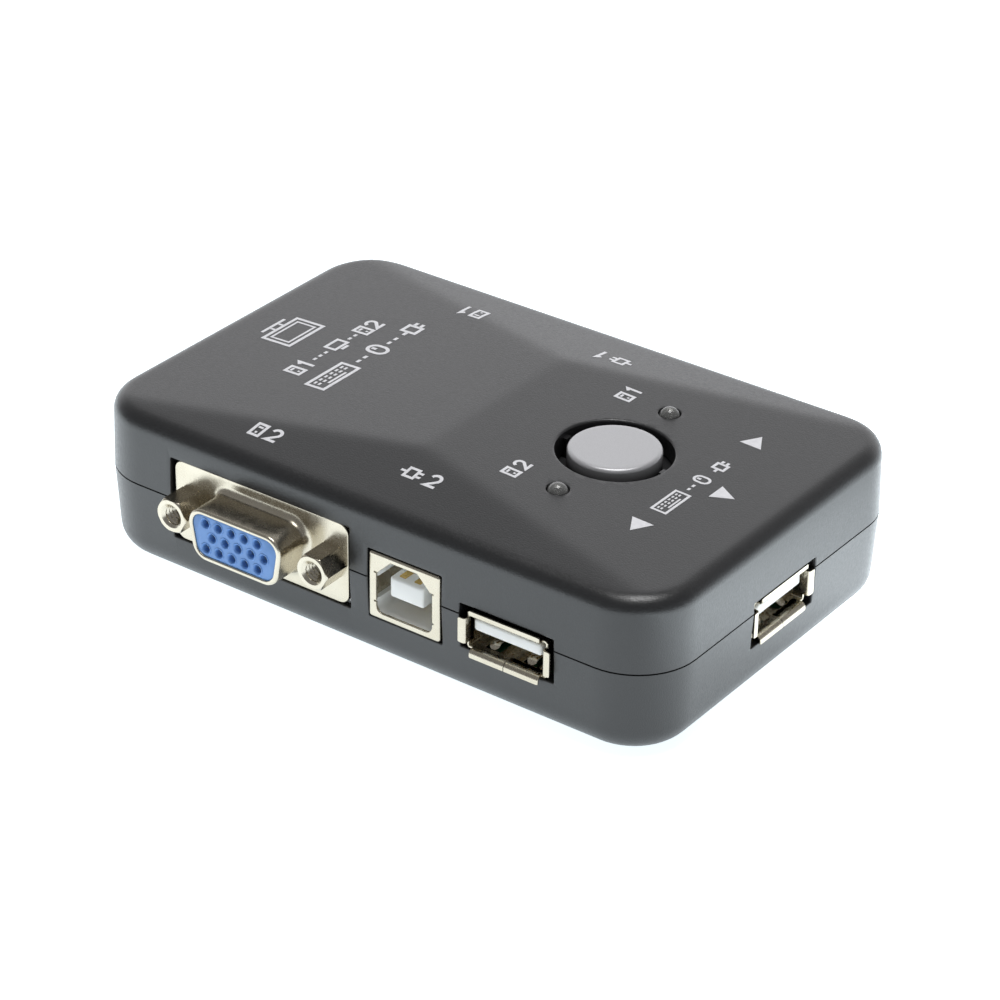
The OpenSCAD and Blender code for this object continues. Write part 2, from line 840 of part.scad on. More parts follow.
top_cover();
bottom_cover();
case_screws();
select_button();
switch_plunger();
switch_spring();
switch_cover();
switch_housing();
switch_pins();
light(1);  // light_1
light(-1);  // light_2
light_leads();
circuit_board();
video_switch_chips();
usb_hub_chip();
control_chip();
crystal();
electrolytic_capacitors();
chip_capacitors();
chip_resistors();
place() side_1(vga_x) vga_shell();  // vga_1_shell
place() side_1(vga_x) vga_insulator();  // vga_1_insulator
place() side_1(vga_x) vga_contacts();  // vga_1_contacts
place() side_1(vga_x) vga_jackscrews();  // vga_1_jackscrews
place() side_1(vga_x) vga_bracket();  // vga_1_bracket
place() side_2(vga_x) vga_shell();  // vga_2_shell
place() side_2(vga_x) vga_insulator();  // vga_2_insulator
place() side_2(vga_x) vga_contacts();  // vga_2_contacts
place() side_2(vga_x) vga_jackscrews();  // vga_2_jackscrews
place() side_2(vga_x) vga_bracket();  // vga_2_bracket
place() monitor_end() vga_shell();  // vga_out_shell
place() monitor_end() vga_insulator();  // vga_out_insulator
place() monitor_end() vga_contacts();  // vga_out_contacts
place() monitor_end() vga_jackscrews();  // vga_out_jackscrews
place() monitor_end() vga_bracket();  // vga_out_bracket
place() side_1(square_x) usb_square_shell();  // usb_pc_1_shell
place() side_1(square_x) usb_square_insulator();  // usb_pc_1_insulator
place() side_1(square_x) usb_square_contacts();  // usb_pc_1_contacts
place() side_2(square_x) usb_square_shell();  // usb_pc_2_shell
place() side_2(square_x) usb_square_insulator();  // usb_pc_2_insulator
place() side_2(square_x) usb_square_contacts();  // usb_pc_2_contacts
flat_side(1) usb_flat_shell();  // usb_side_1_shell
flat_side(1) usb_flat_insulator();  // usb_side_1_insulator
flat_side(1) usb_flat_contacts();  // usb_side_1_contacts
flat_side(2) usb_flat_shell();  // usb_side_2_shell
flat_side(2) usb_flat_insulator();  // usb_side_2_insulator
flat_side(2) usb_flat_contacts();  // usb_side_2_contacts
place() usb_end() usb_flat_shell();  // usb_end_shell
place() usb_end() usb_flat_insulator();  // usb_end_insulator
place() usb_end() usb_flat_contacts();  // usb_end_contacts
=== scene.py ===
from math import atan, atan2, cos, exp, log, pi, radians, sin, sqrt, tan

import bmesh
import bpy
from mathutils import Matrix, Vector


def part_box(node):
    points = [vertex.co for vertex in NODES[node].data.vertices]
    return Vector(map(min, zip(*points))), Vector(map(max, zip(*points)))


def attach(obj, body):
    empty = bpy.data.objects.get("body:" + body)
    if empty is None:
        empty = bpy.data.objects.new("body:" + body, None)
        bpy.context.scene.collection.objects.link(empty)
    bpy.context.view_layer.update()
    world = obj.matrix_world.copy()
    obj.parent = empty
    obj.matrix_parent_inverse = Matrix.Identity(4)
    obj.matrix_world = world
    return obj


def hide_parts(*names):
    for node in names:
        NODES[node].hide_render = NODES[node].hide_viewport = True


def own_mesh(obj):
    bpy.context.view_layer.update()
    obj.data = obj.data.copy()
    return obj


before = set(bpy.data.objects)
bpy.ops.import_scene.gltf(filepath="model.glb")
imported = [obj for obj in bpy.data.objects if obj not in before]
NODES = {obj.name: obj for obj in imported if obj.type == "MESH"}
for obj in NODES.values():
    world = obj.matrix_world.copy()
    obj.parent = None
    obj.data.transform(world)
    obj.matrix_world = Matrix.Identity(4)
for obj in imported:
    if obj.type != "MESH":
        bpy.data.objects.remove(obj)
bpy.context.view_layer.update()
MM = 0.001

# ---- sizes, in millimetres


def box_mm(node):
    low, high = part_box(node)
    return Vector(low) / MM, Vector(high) / MM


def middle_mm(node):
    return sum(box_mm(node), Vector()) / 2


CASE_LOW, CASE_HIGH = box_mm("bottom_cover")
CASE_X = (CASE_LOW.x + CASE_HIGH.x) / 2
HALF_L = (CASE_HIGH.x - CASE_LOW.x) / 2
HALF_W = (CASE_HIGH.y - CASE_LOW.y) / 2
RIDGE_Z = box_mm("top_cover")[1].z
PART_Z = 13.5
CORNER_R = 9.5
WALL = 2.0
RIM_Z = 24.4
TOP_ROUND = 2.5
TOP_DRAFT = 0.2
BOTTOM_ROUND = 4.0
BOTTOM_DRAFT = 0.5
PAD_H = 0.35
RIDGE_HALF = 16.45
CREASE = 0.07
CEILING_Z = 22.4
GROOVE = 0.12
GROOVE_DEPTH = 0.32
LIP_INSET = 1.1
LIP_H = 1.2
LIP_GAP = 0.1
SCREW_PLACES = [(CASE_X + sx * 40.5, sy * 21) for sx in (-1, 1) for sy in (-1, 1)]
POST_R = 3
POST_LOW = 7.25
PILOT_R = 1.27
PILOT_TOP = 15.2
BOSS_R = 4
BOSS_TOP = 5.6
SCREW_HOLE_R = 1.5
SCREW_HEAD_R = 2.75
HEAD_SEAT_Z = 3.4

BUTTON = Vector((*middle_mm("select_button").xy, box_mm("select_button")[1].z))
BUTTON_R = 6.6
BUTTON_EDGE = 0.6
PEG_R = 3.2
PEG_BORE = 2.4
PEG_LOW = 17.4
WELL_R = 8.25
GUIDE_R = 9.5
GUIDE_LOW = 19.6
FLANGE_TOP = 22.0
FLANGE_R = 9.1
FLANGE_T = 1.2
RIB_W = 1.2
RIB_REACH = 0.6
SPRING_WIRE = 0.35
SPRING_TURNS = 6.5
LIGHT_R = 1.5
LIGHT_HOLE_R = 1.62
LIGHT_COLLAR = 0.4

# Monitor socket
FLANGE_W = 30.8
FLANGE_H = 12.5
FLANGE_Y = 0.5
FLANGE_CORNER = 1.6
PLATE_T = 0.8
SNOUT = 5.8
SHELL_WALL = 0.72
SCREW_GAP = 24.99
SCREW_LEN = 4.4
SCREW_FLATS = 4.76
BORE_R = 1.14
THREAD_R = 1.44
THREAD_PITCH = 0.635
D_CORNERS = [(-5.13, -1.45), (5.13, -1.45), (5.62, 1.45), (-5.62, 1.45)]
D_R = 2.5
D_ARC = 8
D_RUN = 8
PITCH_X = 2.29
PITCH_Z = 1.98
ROW_SHIFT = 0.57

# Square USB socket
SQUARE_W = 12.0
SQUARE_LOW = 7.5
SQUARE_H = 10.25
SQUARE_MID = SQUARE_LOW + SQUARE_H / 2
SQUARE_DEPTH = 16.0
SQUARE_MOUTH_Z = 12.72
SHEET = 0.35

# Flat USB socket
FLAT_W = 13.1
FLAT_H = 5.72
FLAT_Z = 11.4
FLAT_SHEET = 0.3
FLAT_DEPTH = 13.6
FLAT_FLOOR = FLAT_Z - FLAT_H / 2 + FLAT_SHEET
LIP_LEN = 0.8
FINGERS = (-3.07, 3.07)
SIDE_PROUD = 0.55

PRINT_RISE = 0.025

# ---- camera, and light levels along a direction

CAMERA_PLACE = (253.76, -344.34, 255.87)
CAMERA_AIM = (6.05, -3.12, 13.0)
CAMERA_TILT = 0.014
LENS = 124.95
SOFTBOX_PLACE = (50, 0, 700)
SOFTBOX_SIZE = 350
SOFTBOX_WATTS = 2.6
BRIGHT_SIDE = (-0.5, 0.75, -0.43)
WORLD_TINT = (1.0, 1.0, 1.02)
WORLD_STEPS = [(-1.0, 0.22), (0.0, 0.26), (0.26, 0.34), (0.48, 0.85), (0.64, 1.4), (1.0, 1.4)]
TABLE_R = 4000
TABLE_SIDE = (0.8, 0.6, 0.0)
TABLE_TINT = (0.86, 0.95, 1.0)
TABLE_STEPS = [(-160, 1.15), (-110, 1.5), (-65, 1.34), (-20, 1.12), (26, 1.0), (45, 1.35),
               (58, 2.8), (75, 2.5), (110, 1.4), (170, 1.0)]

# ---- mesh helpers


def new_object(name, bm):
    """Makes an object of a bmesh drawn in millimetres."""
    bmesh.ops.recalc_face_normals(bm, faces=bm.faces)
    bmesh.ops.scale(bm, vec=[MM] * 3, verts=bm.verts)
    mesh = bpy.data.meshes.new(name)
    bm.to_mesh(mesh)
    bm.free()
    piece = bpy.data.objects.new(name, mesh)
    bpy.context.scene.collection.objects.link(piece)
    return piece


def keep(piece, slot, smooth, *nodes, body="case", finish=None):
    """Finishes a piece: its material, edges sharp above smooth degrees, its body and CAD nodes."""
    bm = bmesh.new()
    bm.from_mesh(piece.data)
    for face in bm.faces:
        face.smooth = True
        face.material_index = 0
    for edge in bm.edges:
        edge.smooth = len(edge.link_faces) == 2 and edge.calc_face_angle(0) < radians(smooth)
    bm.to_mesh(piece.data)
    bm.free()
    piece.data.materials.clear()
    piece.data.materials.append(MATERIALS[finish or slot])
    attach(piece, body)
    if nodes:
        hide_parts(*nodes)


def loft(rings, cap=True, cyclic=False, bm=None):
    """Skins closed rings that have the same number of points. cyclic joins the last to the first."""
    bm = bm or bmesh.new()
    rows = [[bm.verts.new(p) for p in ring] for ring in rings]
    pairs = list(zip(rows, rows[1:]))
    if cyclic:
        pairs.append((rows[-1], rows[0]))
    for low, high in pairs:
        for i in range(len(low)):
            j = (i + 1) % len(low)
            bm.faces.new((low[i], low[j], high[j], high[i]))
    if cap and not cyclic:
        bm.faces.new(rows[0][::-1])
        bm.faces.new(rows[-1])
    return bm


def outline(corners, radius, arc=8, run=1):
    """Round-cornered convex outline, anticlockwise, from the centres of its corners' circles.
    run is the number of steps in each straight, or in all of them."""
    count = len(corners)
    runs = run if isinstance(run, list) else [run] * count
    points = []
    for i in range(count):
        before, here, after = (Vector(corners[(i + k) % count]) for k in (-1, 0, 1))
        a, b = (here - before).normalized(), (after - here).normalized()
        start = atan2(-a.x, a.y)
        turn = (atan2(-b.x, b.y) - start) % (2 * pi)
        for k in range(arc + 1):
            angle = start + turn * k / arc
            points.append(here + radius * Vector((cos(angle), sin(angle))))
        goal = after + radius * Vector((cos(angle), sin(angle)))
        points += [points[-1].lerp(goal, k / runs[i]) for k in range(1, runs[i])]
    return points


def rect_corners(half_x, half_y):
    return [(half_x, -half_y), (half_x, half_y), (-half_x, half_y), (-half_x, -half_y)]


def boolean(target, cutter, operation="DIFFERENCE"):
    """Cuts or joins cutter into target for good, and removes the cutter."""
    modifier = target.modifiers.new("cut", "BOOLEAN")
    modifier.operation = operation
    modifier.solver = "MANIFOLD"
    modifier.object = cutter
    bpy.context.view_layer.update()
    solved = target.evaluated_get(bpy.context.evaluated_depsgraph_get())
    result = bpy.data.meshes.new_from_object(solved)
    target.modifiers.clear()
    old = target.data
    target.data = result
    bpy.data.meshes.remove(old)
    bpy.data.objects.remove(cutter)


def tool(bm):
    """A bmesh drawn in millimetres as a loose object, for a boolean."""
    return new_object("tool", bm)


def cut(target, bm):
    boolean(target, tool(bm))


def join(target, bm):
    boolean(target, tool(bm), "UNION")


def box_mesh(low, high, bm=None):
    """Box from its lowest to its highest corner."""
    (x0, y0, z0), (x1, y1, z1) = low, high
    return loft([[(x0, y0, z), (x1, y0, z), (x1, y1, z), (x0, y1, z)] for z in (z0, z1)], bm=bm)


def circle_points(radius, steps):
    angles = [2 * pi * i / steps for i in range(steps)]
    return [Vector((radius * cos(a), radius * sin(a))) for a in angles]


def turned(profile, centre, steps=96, bm=None):
    """Solid of revolution about the upright line through centre, from (radius, height) points."""
    x, y = centre
    rings = [[(x + p.x, y + p.y, z) for p in circle_points(r, steps)] for r, z in profile]
    return loft(rings, bm=bm)


def moved(bm, matrix):
    bmesh.ops.transform(bm, matrix=matrix, verts=bm.verts)
    return bm


def upright(bm, matrix=Matrix.Identity(4)):
    """Turns a mesh drawn on its back, with +Z towards the viewer, to face -Y, then places it."""
    return moved(bm, matrix @ Matrix.Rotation(radians(90), 4, "X"))


def standing(points, y, z):
    """Points of a flat outline, stood up at a depth with their middle at height z."""
    return [(p.x, y, z + p.y) for p in points]


def panel(width, height, radius, z, y, arc=6):
    """Standing round-cornered rectangle, at a depth and with its middle at height z."""
    corners = rect_corners(width / 2 - radius, height / 2 - radius)
    return standing(outline(corners, radius, arc), y, z)


def arc_steps(start, end, steps):
    """Angles in radians between two angles in degrees, both ends included."""
    return [radians(start + (end - start) * k / steps) for k in range(steps + 1)]


def rounded(radius, start, end, steps):
    """Pairs of offsets round a corner: one grows from 0 to radius while the other shrinks to 0."""
    angles = arc_steps(start, end, steps)
    return [(radius * (1 - cos(a)), radius * (1 - sin(a))) for a in angles]


def curve(centre, radius, start, end, steps=10):
    """Points of an ellipse's arc between two angles in degrees."""
    (x, y), (wide, tall) = centre, radius
    return [(x + wide * cos(a), y + tall * sin(a)) for a in arc_steps(start, end, steps)]


# ---- materials


def new_material(name, colour, roughness, metallic=0.0, **sockets):
    material = bpy.data.materials.new(name)
    material.use_nodes = True
    shader = material.node_tree.nodes["Principled BSDF"]
    shader.inputs["Base Color"].default_value = (*colour, 1)
    shader.inputs["Roughness"].default_value = roughness
    shader.inputs["Metallic"].default_value = metallic
    for socket, value in sockets.items():
        shader.inputs[socket.replace("_", " ")].default_value = value
    return material


def add_node(owner, kind, inputs, **settings):
    """New node of a material or world. An input is a value or another node's output."""
    node = owner.node_tree.nodes.new("ShaderNode" + kind)
    for name, value in settings.items():
        setattr(node, name, value)
    for socket, value in inputs.items():
        if isinstance(value, bpy.types.NodeSocket):
            owner.node_tree.links.new(value, node.inputs[socket])
        else:
            node.inputs[socket].default_value = value
    return node


def coordinates(owner, kind="Object"):
    return add_node(owner, "TexCoord", {}).outputs[kind]


def noise(material, per_mm, detail=2.0):
    """Noise over the object in millimetres: the socket of its value, about 0.5 in the middle."""
    spot = add_node(material, "Mapping", {"Vector": coordinates(material), "Scale": [1 / MM] * 3})
    inputs = {"Vector": spot.outputs["Vector"], "Scale": per_mm, "Detail": detail}
    return add_node(material, "TexNoise", inputs).outputs["Fac"]


def spread(owner, source, low, high, start=0.3, end=0.7):
    """Maps a value that runs from start to end on to low to high."""
    inputs = {"Value": source, "From Min": start, "From Max": end, "To Min": low, "To Max": high}
    return add_node(owner, "MapRange", inputs).outputs["Result"]


def blend_colours(material, factor, first, second):
    """Mixes a colour with another, which may also be a node's output."""
    if not isinstance(second, bpy.types.NodeSocket):
        second = (*second, 1)
    inputs = {"Factor": factor, "A": (*first, 1), "B": second}
    return add_node(material, "Mix", inputs, data_type="RGBA").outputs["Result"]


def drive(material, socket, source):
    shader = material.node_tree.nodes["Principled BSDF"]
    material.node_tree.links.new(source, shader.inputs[socket])


def bump(material, height, depth):
    """Surface relief of depth millimetres."""
    node = add_node(material, "Bump", {"Strength": 1.0, "Distance": depth * MM, "Height": height})
    drive(material, "Normal", node.outputs["Normal"])


def height_above(material, start, end):
    """Value from 0 to 1 between two heights in millimetres."""
    split = add_node(material, "SeparateXYZ", {"Vector": coordinates(material)})
    return spread(material, split.outputs["Z"], 0.0, 1.0, start * MM, end * MM)


def speckled(name, colours, roughness, per_mm, depth, metallic=0.0, patch=0.06, **sockets):
    """Finish with a slow drift between two colours, uneven gloss and a fine surface grain."""
    material = new_material(name, colours[0], roughness[0], metallic, **sockets)
    drift = spread(material, noise(material, patch), 0, 1)
    drive(material, "Base Color", blend_colours(material, drift, *colours))
    drive(material, "Roughness", spread(material, noise(material, per_mm * 0.5, 3), *roughness))
    bump(material, noise(material, per_mm, 3), depth)
    return material


def speckled_metal(name, colours, roughness, per_mm, depth, **sockets):
    return speckled(name, colours, roughness, per_mm, depth, metallic=1.0, **sockets)


def case_plastic():
    colours = [(0.0105, 0.0108, 0.0116), (0.0130, 0.0133, 0.0142)]
    return speckled("case_plastic", colours, (0.28, 0.38), 4.5, 0.028, Specular_IOR_Level=0.72)


def nickel_plate():
    colours = [(0.60, 0.555, 0.46), (0.545, 0.495, 0.395)]
    return speckled_metal("bright_nickel", colours, (0.22, 0.30), 1.6, 0.0012, patch=0.16)


def blue_plastic():
    colours = [(0.12, 0.265, 0.58), (0.14, 0.295, 0.63)]
    return speckled("blue_plastic", colours, (0.34, 0.5), 5.0, 0.008, patch=0.3)


def white_plastic():
    colours = [(0.82, 0.825, 0.80), (0.86, 0.86, 0.84)]
    depths = (0.0008, 0.0007, 0.0006)
    return speckled("cream_plastic", colours, (0.3, 0.42), 3.0, 0.006, patch=0.3,
                    Subsurface_Weight=0.12, Subsurface_Radius=depths)


def silver_paint():
    """Fine metallic paint on the button's face, thinning down its sides to bare dark plastic; the
    darkening of the sides where they sink into the well is also painted shade.
    """
    material = new_material("silver_paint", (0.6, 0.6, 0.61), 0.4)
    # Painted shade: the lower sides fade to near black, partly bare plastic under thinning paint and
    # partly the shade inside the button's well.
    paint_over_shade = height_above(material, BUTTON.z - 2.4, BUTTON.z - 0.5)
    flakes = spread(material, noise(material, 14.0), 0, 1, 0.25, 0.75)
    paint = blend_colours(material, flakes, (0.44, 0.44, 0.45), (0.58, 0.58, 0.595))
    bare_plastic_and_shade = (0.018, 0.018, 0.019)
    drive(material, "Base Color", blend_colours(material, paint_over_shade, bare_plastic_and_shade, paint))
    drive(material, "Metallic", spread(material, paint_over_shade, 0.0, 0.55, 0, 1))
    drive(material, "Roughness", spread(material, noise(material, 9.0), 0.34, 0.46))
    bump(material, noise(material, 16.0), 0.006)
    return material


def clear_lens():
    material = new_material("clear_lens", (0.42, 0.42, 0.41), 0.06, IOR=1.5, Transmission_Weight=0.7)
    drive(material, "Roughness", spread(material, noise(material, 1.5), 0.03, 0.1))
    bump(material, noise(material, 0.8, 1), 0.004)
    return material


def white_print():
    colours = [(0.86, 0.86, 0.885), (0.77, 0.77, 0.80)]
    return speckled("white_print", colours, (0.45, 0.6), 7.0, 0.004, patch=1.2)


def gold_plate():
    colours = [(0.83, 0.60, 0.22), (0.74, 0.52, 0.18)]
    return speckled_metal("gold_plate", colours, (0.18, 0.3), 2.5, 0.004)


def tinned_steel():
    colours = [(0.66, 0.66, 0.64), (0.56, 0.56, 0.55)]
    return speckled_metal("tinned_steel", colours, (0.26, 0.42), 2.2, 0.008)


def zinc_steel():
    colours = [(0.62, 0.63, 0.64), (0.5, 0.51, 0.53)]
    return speckled_metal("zinc_steel", colours, (0.22, 0.36), 3.0, 0.006)


def board_laminate():
    colours = [(0.018, 0.11, 0.045), (0.024, 0.14, 0.06)]
    return speckled("board_laminate", colours, (0.28, 0.4), 3.0, 0.01, patch=0.25)


def black_plastic():
    colours = [(0.016, 0.016, 0.017), (0.024, 0.024, 0.025)]
    return speckled("black_plastic", colours, (0.4, 0.55), 4.0, 0.01)


def chip_body():
    colours = [(0.02, 0.02, 0.022), (0.03, 0.03, 0.032)]
    return speckled("chip_body", colours, (0.5, 0.65), 8.0, 0.01)


def switch_plastic():
    colours = [(0.03, 0.045, 0.10), (0.036, 0.055, 0.12)]
    return speckled("switch_plastic", colours, (0.38, 0.5), 4.0, 0.008)


def capacitor_sleeve():
    colours = [(0.02, 0.03, 0.07), (0.026, 0.038, 0.085)]
    return speckled("capacitor_sleeve", colours, (0.22, 0.34), 2.0, 0.006)


def chip_ceramic():
    colours = [(0.38, 0.27, 0.17), (0.30, 0.21, 0.13)]
    return speckled("chip_ceramic", colours, (0.45, 0.6), 6.0, 0.01)


MAKERS = [
    case_plastic, nickel_plate, blue_plastic, white_plastic, silver_paint, clear_lens, white_print,
    gold_plate, tinned_steel, zinc_steel, board_laminate, black_plastic, chip_body, switch_plastic,
    capacitor_sleeve, chip_ceramic,
]
MATERIALS = {make.__name__: make() for make in MAKERS}
MATERIALS["spring_steel"] = zinc_steel()


# ---- case


def soft_min(a, b, soft):
    low, high = min(a, b), max(a, b)
    return low - soft * log(1 + exp((low - high) / soft))


def roof_height(x, y):
    """Height of the top surface at a place from the case's middle: a low four-sided roof."""
    edge = TOP_DRAFT + TOP_ROUND
    rise = RIDGE_Z - RIM_Z
    long_slope = rise / (HALF_W - edge - RIDGE_HALF)
    end_slope = rise / (HALF_L - edge)
    along = sqrt(x * x + 0.5) - sqrt(0.5)
    from_long = long_slope * (HALF_W - edge - abs(y))
    from_end = end_slope * (HALF_L - edge - along)
    return RIM_Z + soft_min(from_long, from_end, CREASE)


def plan_ring(inset, height):
    """Points round the case, inset from its widest outline, at a height or a function's height."""
    thin = 0.01
    radius = max(CORNER_R - inset, min(0.4, HALF_W - inset - thin), 0)
    corners = rect_corners(HALF_L - inset - radius, max(HALF_W - inset - radius, thin))
    points = outline(corners, radius, arc=12, run=[32, 72, 32, 72])
    return [(CASE_X + p.x, p.y, height(p.x, p.y) if callable(height) else height) for p in points]


def wall_inset(z):
    """How far the case wall lies inside the widest outline at a height."""
    if z > PART_Z:
        return TOP_DRAFT * (z - PART_Z) / (RIM_Z - TOP_ROUND - PART_Z)
    return BOTTOM_DRAFT * (PART_Z - z) / (PART_Z - PAD_H - BOTTOM_ROUND)


def wall_rings(direction, length, draft):
    """Rings along a drafted outside wall, away from the groove of the parting line."""
    start = [plan_ring(GROOVE_DEPTH, PART_Z), plan_ring(0, PART_Z + direction * GROOVE)]
    return start + [plan_ring(draft * t, PART_Z + direction * length * t) for t in (0.3, 0.65)]


def top_rim_rings():
    """Rings round the top rim, whose round meets the sloping roof without a crease."""
    steps = 8
    wide = [Vector(p) for p in plan_ring(TOP_DRAFT, 0)]
    inward = [(Vector(b) - a).normalized() for a, b in zip(wide, plan_ring(TOP_DRAFT + 1, 0))]
    rings = [[] for _ in range(steps + 1)]
    for p, n in zip(wide, inward):
        at_round = p + n * TOP_ROUND
        beyond = at_round + n * 0.5
        level = roof_height(at_round.x - CASE_X, at_round.y)
        slope = (roof_height(beyond.x - CASE_X, beyond.y) - level) / 0.5
        centre = level - TOP_ROUND * sqrt(1 + slope * slope)
        for k in range(steps + 1):
            a = (pi / 2 - atan(slope)) * k / steps
            q = p + n * TOP_ROUND * (1 - cos(a))
            rings[k].append((q.x, q.y, centre + TOP_ROUND * sin(a)))
    return rings


def inner_rings(direction, height, radius, draft):
    """Inside surface of a case half, from the parting line to its flat."""
    wall = height - radius
    rings = [plan_ring(WALL + draft, PART_Z + direction * wall)]
    for a in arc_steps(0, 90, 3)[1:]:
        inset = WALL + draft + radius * (1 - cos(a))
        rings.append(plan_ring(inset, PART_Z + direction * (wall + radius * sin(a))))
    return rings


def socket_matrix(side, name):
    """Places a socket drawn with its mouth towards -Y and the case wall at y = 0."""
    middle = middle_mm(name + "_shell")
    spots = {
        "side_2": ((middle.x, -HALF_W), 0),
        "side_1": ((middle.x, HALF_W), 180),
        "monitor_end": ((CASE_X - HALF_L, middle.y), -90),
        "usb_end": ((CASE_X + HALF_L, middle.y), 90),
    }
    (x, y), turn = spots[side]
    return Matrix.Translation((x, y, 0)) @ Matrix.Rotation(radians(turn), 4, "Z")


SOCKETS = [
    ("side_1", "vga_1", "vga"), ("side_2", "vga_2", "vga"), ("monitor_end", "vga_out", "vga"),
    ("side_1", "usb_pc_1", "square"), ("side_2", "usb_pc_2", "square"),
    ("side_1", "usb_side_1", "flat"), ("side_2", "usb_side_2", "flat"), ("usb_end", "usb_end", "flat"),
]
# Half width, lowest and highest point of each kind's opening
OPENINGS = {
    "vga": (15.85, PART_Z - 6.375, PART_Z + 6.375), "square": (6.25, 7.28, 17.97),
    "flat": (7.65, 8.3, 15.15), "flat_end": (7.65, 7.85, 15.0),
}


def wall_opening(kind, side, matrix):
    """Cutter for a socket's opening, with a soft outer edge that follows the wall's draft."""
    half, low, high = OPENINGS["flat_end" if side == "usb_end" else kind]
    middle = (low + high) / 2
    soft, corner = 0.18, 0.2
    stages = [(5.0, 0.0, False), (soft, 0.0, True)]
    stages += [(depth, grow, True) for grow, depth in rounded(soft, 30, 90, 2)]
    stages.append((-1.0, soft, False))
    rings = []
    for depth, grow, on_wall in stages:
        corners = rect_corners(half - corner, (high - low) / 2 - corner)
        ring = []
        for p in outline(corners, corner + grow, arc=4, run=[6, 1, 6, 1]):
            z = p.y + middle
            ring.append((p.x, depth + (wall_inset(z) if on_wall else 0), z))
        rings.append(ring)
    return moved(loft(rings), matrix)


def roof_opening(x, y, radius, low, soft, steps):
    """Cutter for a round hole in the top, with a softened edge that follows the roof."""
    stages = [(low, 0.0, False), (-soft, 0.0, True)]
    stages += [(-depth, grow, True) for grow, depth in rounded(soft, 25, 90, 3)]
    stages.append((RIDGE_Z + 1, soft, False))
    rings = []
    for level, grow, on_roof in stages:
        ring = []
        for p in circle_points(radius + grow, steps):
            px, py = x + p.x, y + p.y
            ring.append((px, py, level + (roof_height(px - CASE_X, py) if on_roof else 0)))
        rings.append(ring)
    return loft(rings)


def rib_boxes(gap, low, high):
    """The two ribs in the button's well."""
    half = RIB_W / 2 + gap
    for s in (-1, 1):
        ends = sorted((BUTTON.x + s * (WELL_R - RIB_REACH - gap), BUTTON.x + s * (GUIDE_R + 1)))
        yield box_mesh((ends[0], -half, low), (ends[1], half, high))


def cut_sockets(cover):
    for side, name, kind in SOCKETS:
        cut(cover, wall_opening(kind, side, socket_matrix(side, name)))


def top_cover():
    """Lofted shell with screw posts, a guide ring for the button, and all its openings."""
    lip = LIP_INSET - LIP_GAP
    seam = PART_Z + LIP_H + LIP_GAP
    rings = inner_rings(1, CEILING_Z - PART_Z, 0.6, TOP_DRAFT)[::-1]
    rings += [plan_ring(WALL, seam), plan_ring(lip, seam), plan_ring(lip, PART_Z)]
    rings += wall_rings(1, RIM_Z - TOP_ROUND - PART_Z, TOP_DRAFT) + top_rim_rings()
    inset = TOP_DRAFT + TOP_ROUND + 0.6
    while inset < HALF_W - 0.6:
        rings.append(plan_ring(inset, roof_height))
        inset += 0.85
    rings += [plan_ring(HALF_W - 0.42, roof_height), plan_ring(HALF_W - 0.01, roof_height)]
    bm = loft(rings, cap=False)
    bm.verts.ensure_lookup_table()
    bm.faces.new(bm.verts[:len(rings[0])][::-1])
    bmesh.ops.remove_doubles(bm, verts=bm.verts, dist=0.03)
    cover = new_object("top_cover_skin", bm)
    sleeve_r = GUIDE_R + 1.3
    join(cover, turned([(sleeve_r, GUIDE_LOW), (sleeve_r, CEILING_Z + 1.1)], BUTTON.xy))
    for spot in SCREW_PLACES:
        join(cover, turned([(POST_R, POST_LOW), (POST_R, CEILING_Z + 0.6)], spot, 32))
        cut(cover, turned([(PILOT_R, POST_LOW - 1.25), (PILOT_R, PILOT_TOP)], spot, 24))
    guide = turned([(GUIDE_R, GUIDE_LOW - 1), (GUIDE_R, FLANGE_TOP + 0.3)], BUTTON.xy, 128)
    well = roof_opening(BUTTON.x, 0, WELL_R, GUIDE_LOW - 0.5, 0.3, 128)
    for cutter in (tool(guide), tool(well)):
        for rib in rib_boxes(0, GUIDE_LOW - 2, 24.8):
            cut(cutter, rib)
        boolean(cover, cutter)
    for node in ("light_1", "light_2"):
        cut(cover, roof_opening(*middle_mm(node).xy, LIGHT_HOLE_R, 18, 0.15, 48))
    cut_sockets(cover)
    keep(cover, "case_plastic", 38, "top_cover")


def corner_pads():
    """Four low corner pads that the case stands on."""
    flat = BOTTOM_DRAFT + BOTTOM_ROUND
    levels = ((0, 0.5), (0, 0.15), (0.12, 0.03), (0.3, 0))
    pads = tool(loft([plan_ring(flat + inset, z) for inset, z in levels]))
    for half_x, half_y in ((37.5, 40), (60, 14.5)):
        cut(pads, box_mesh((CASE_X - half_x, -half_y, -1), (CASE_X + half_x, half_y, 2)))
    return pads


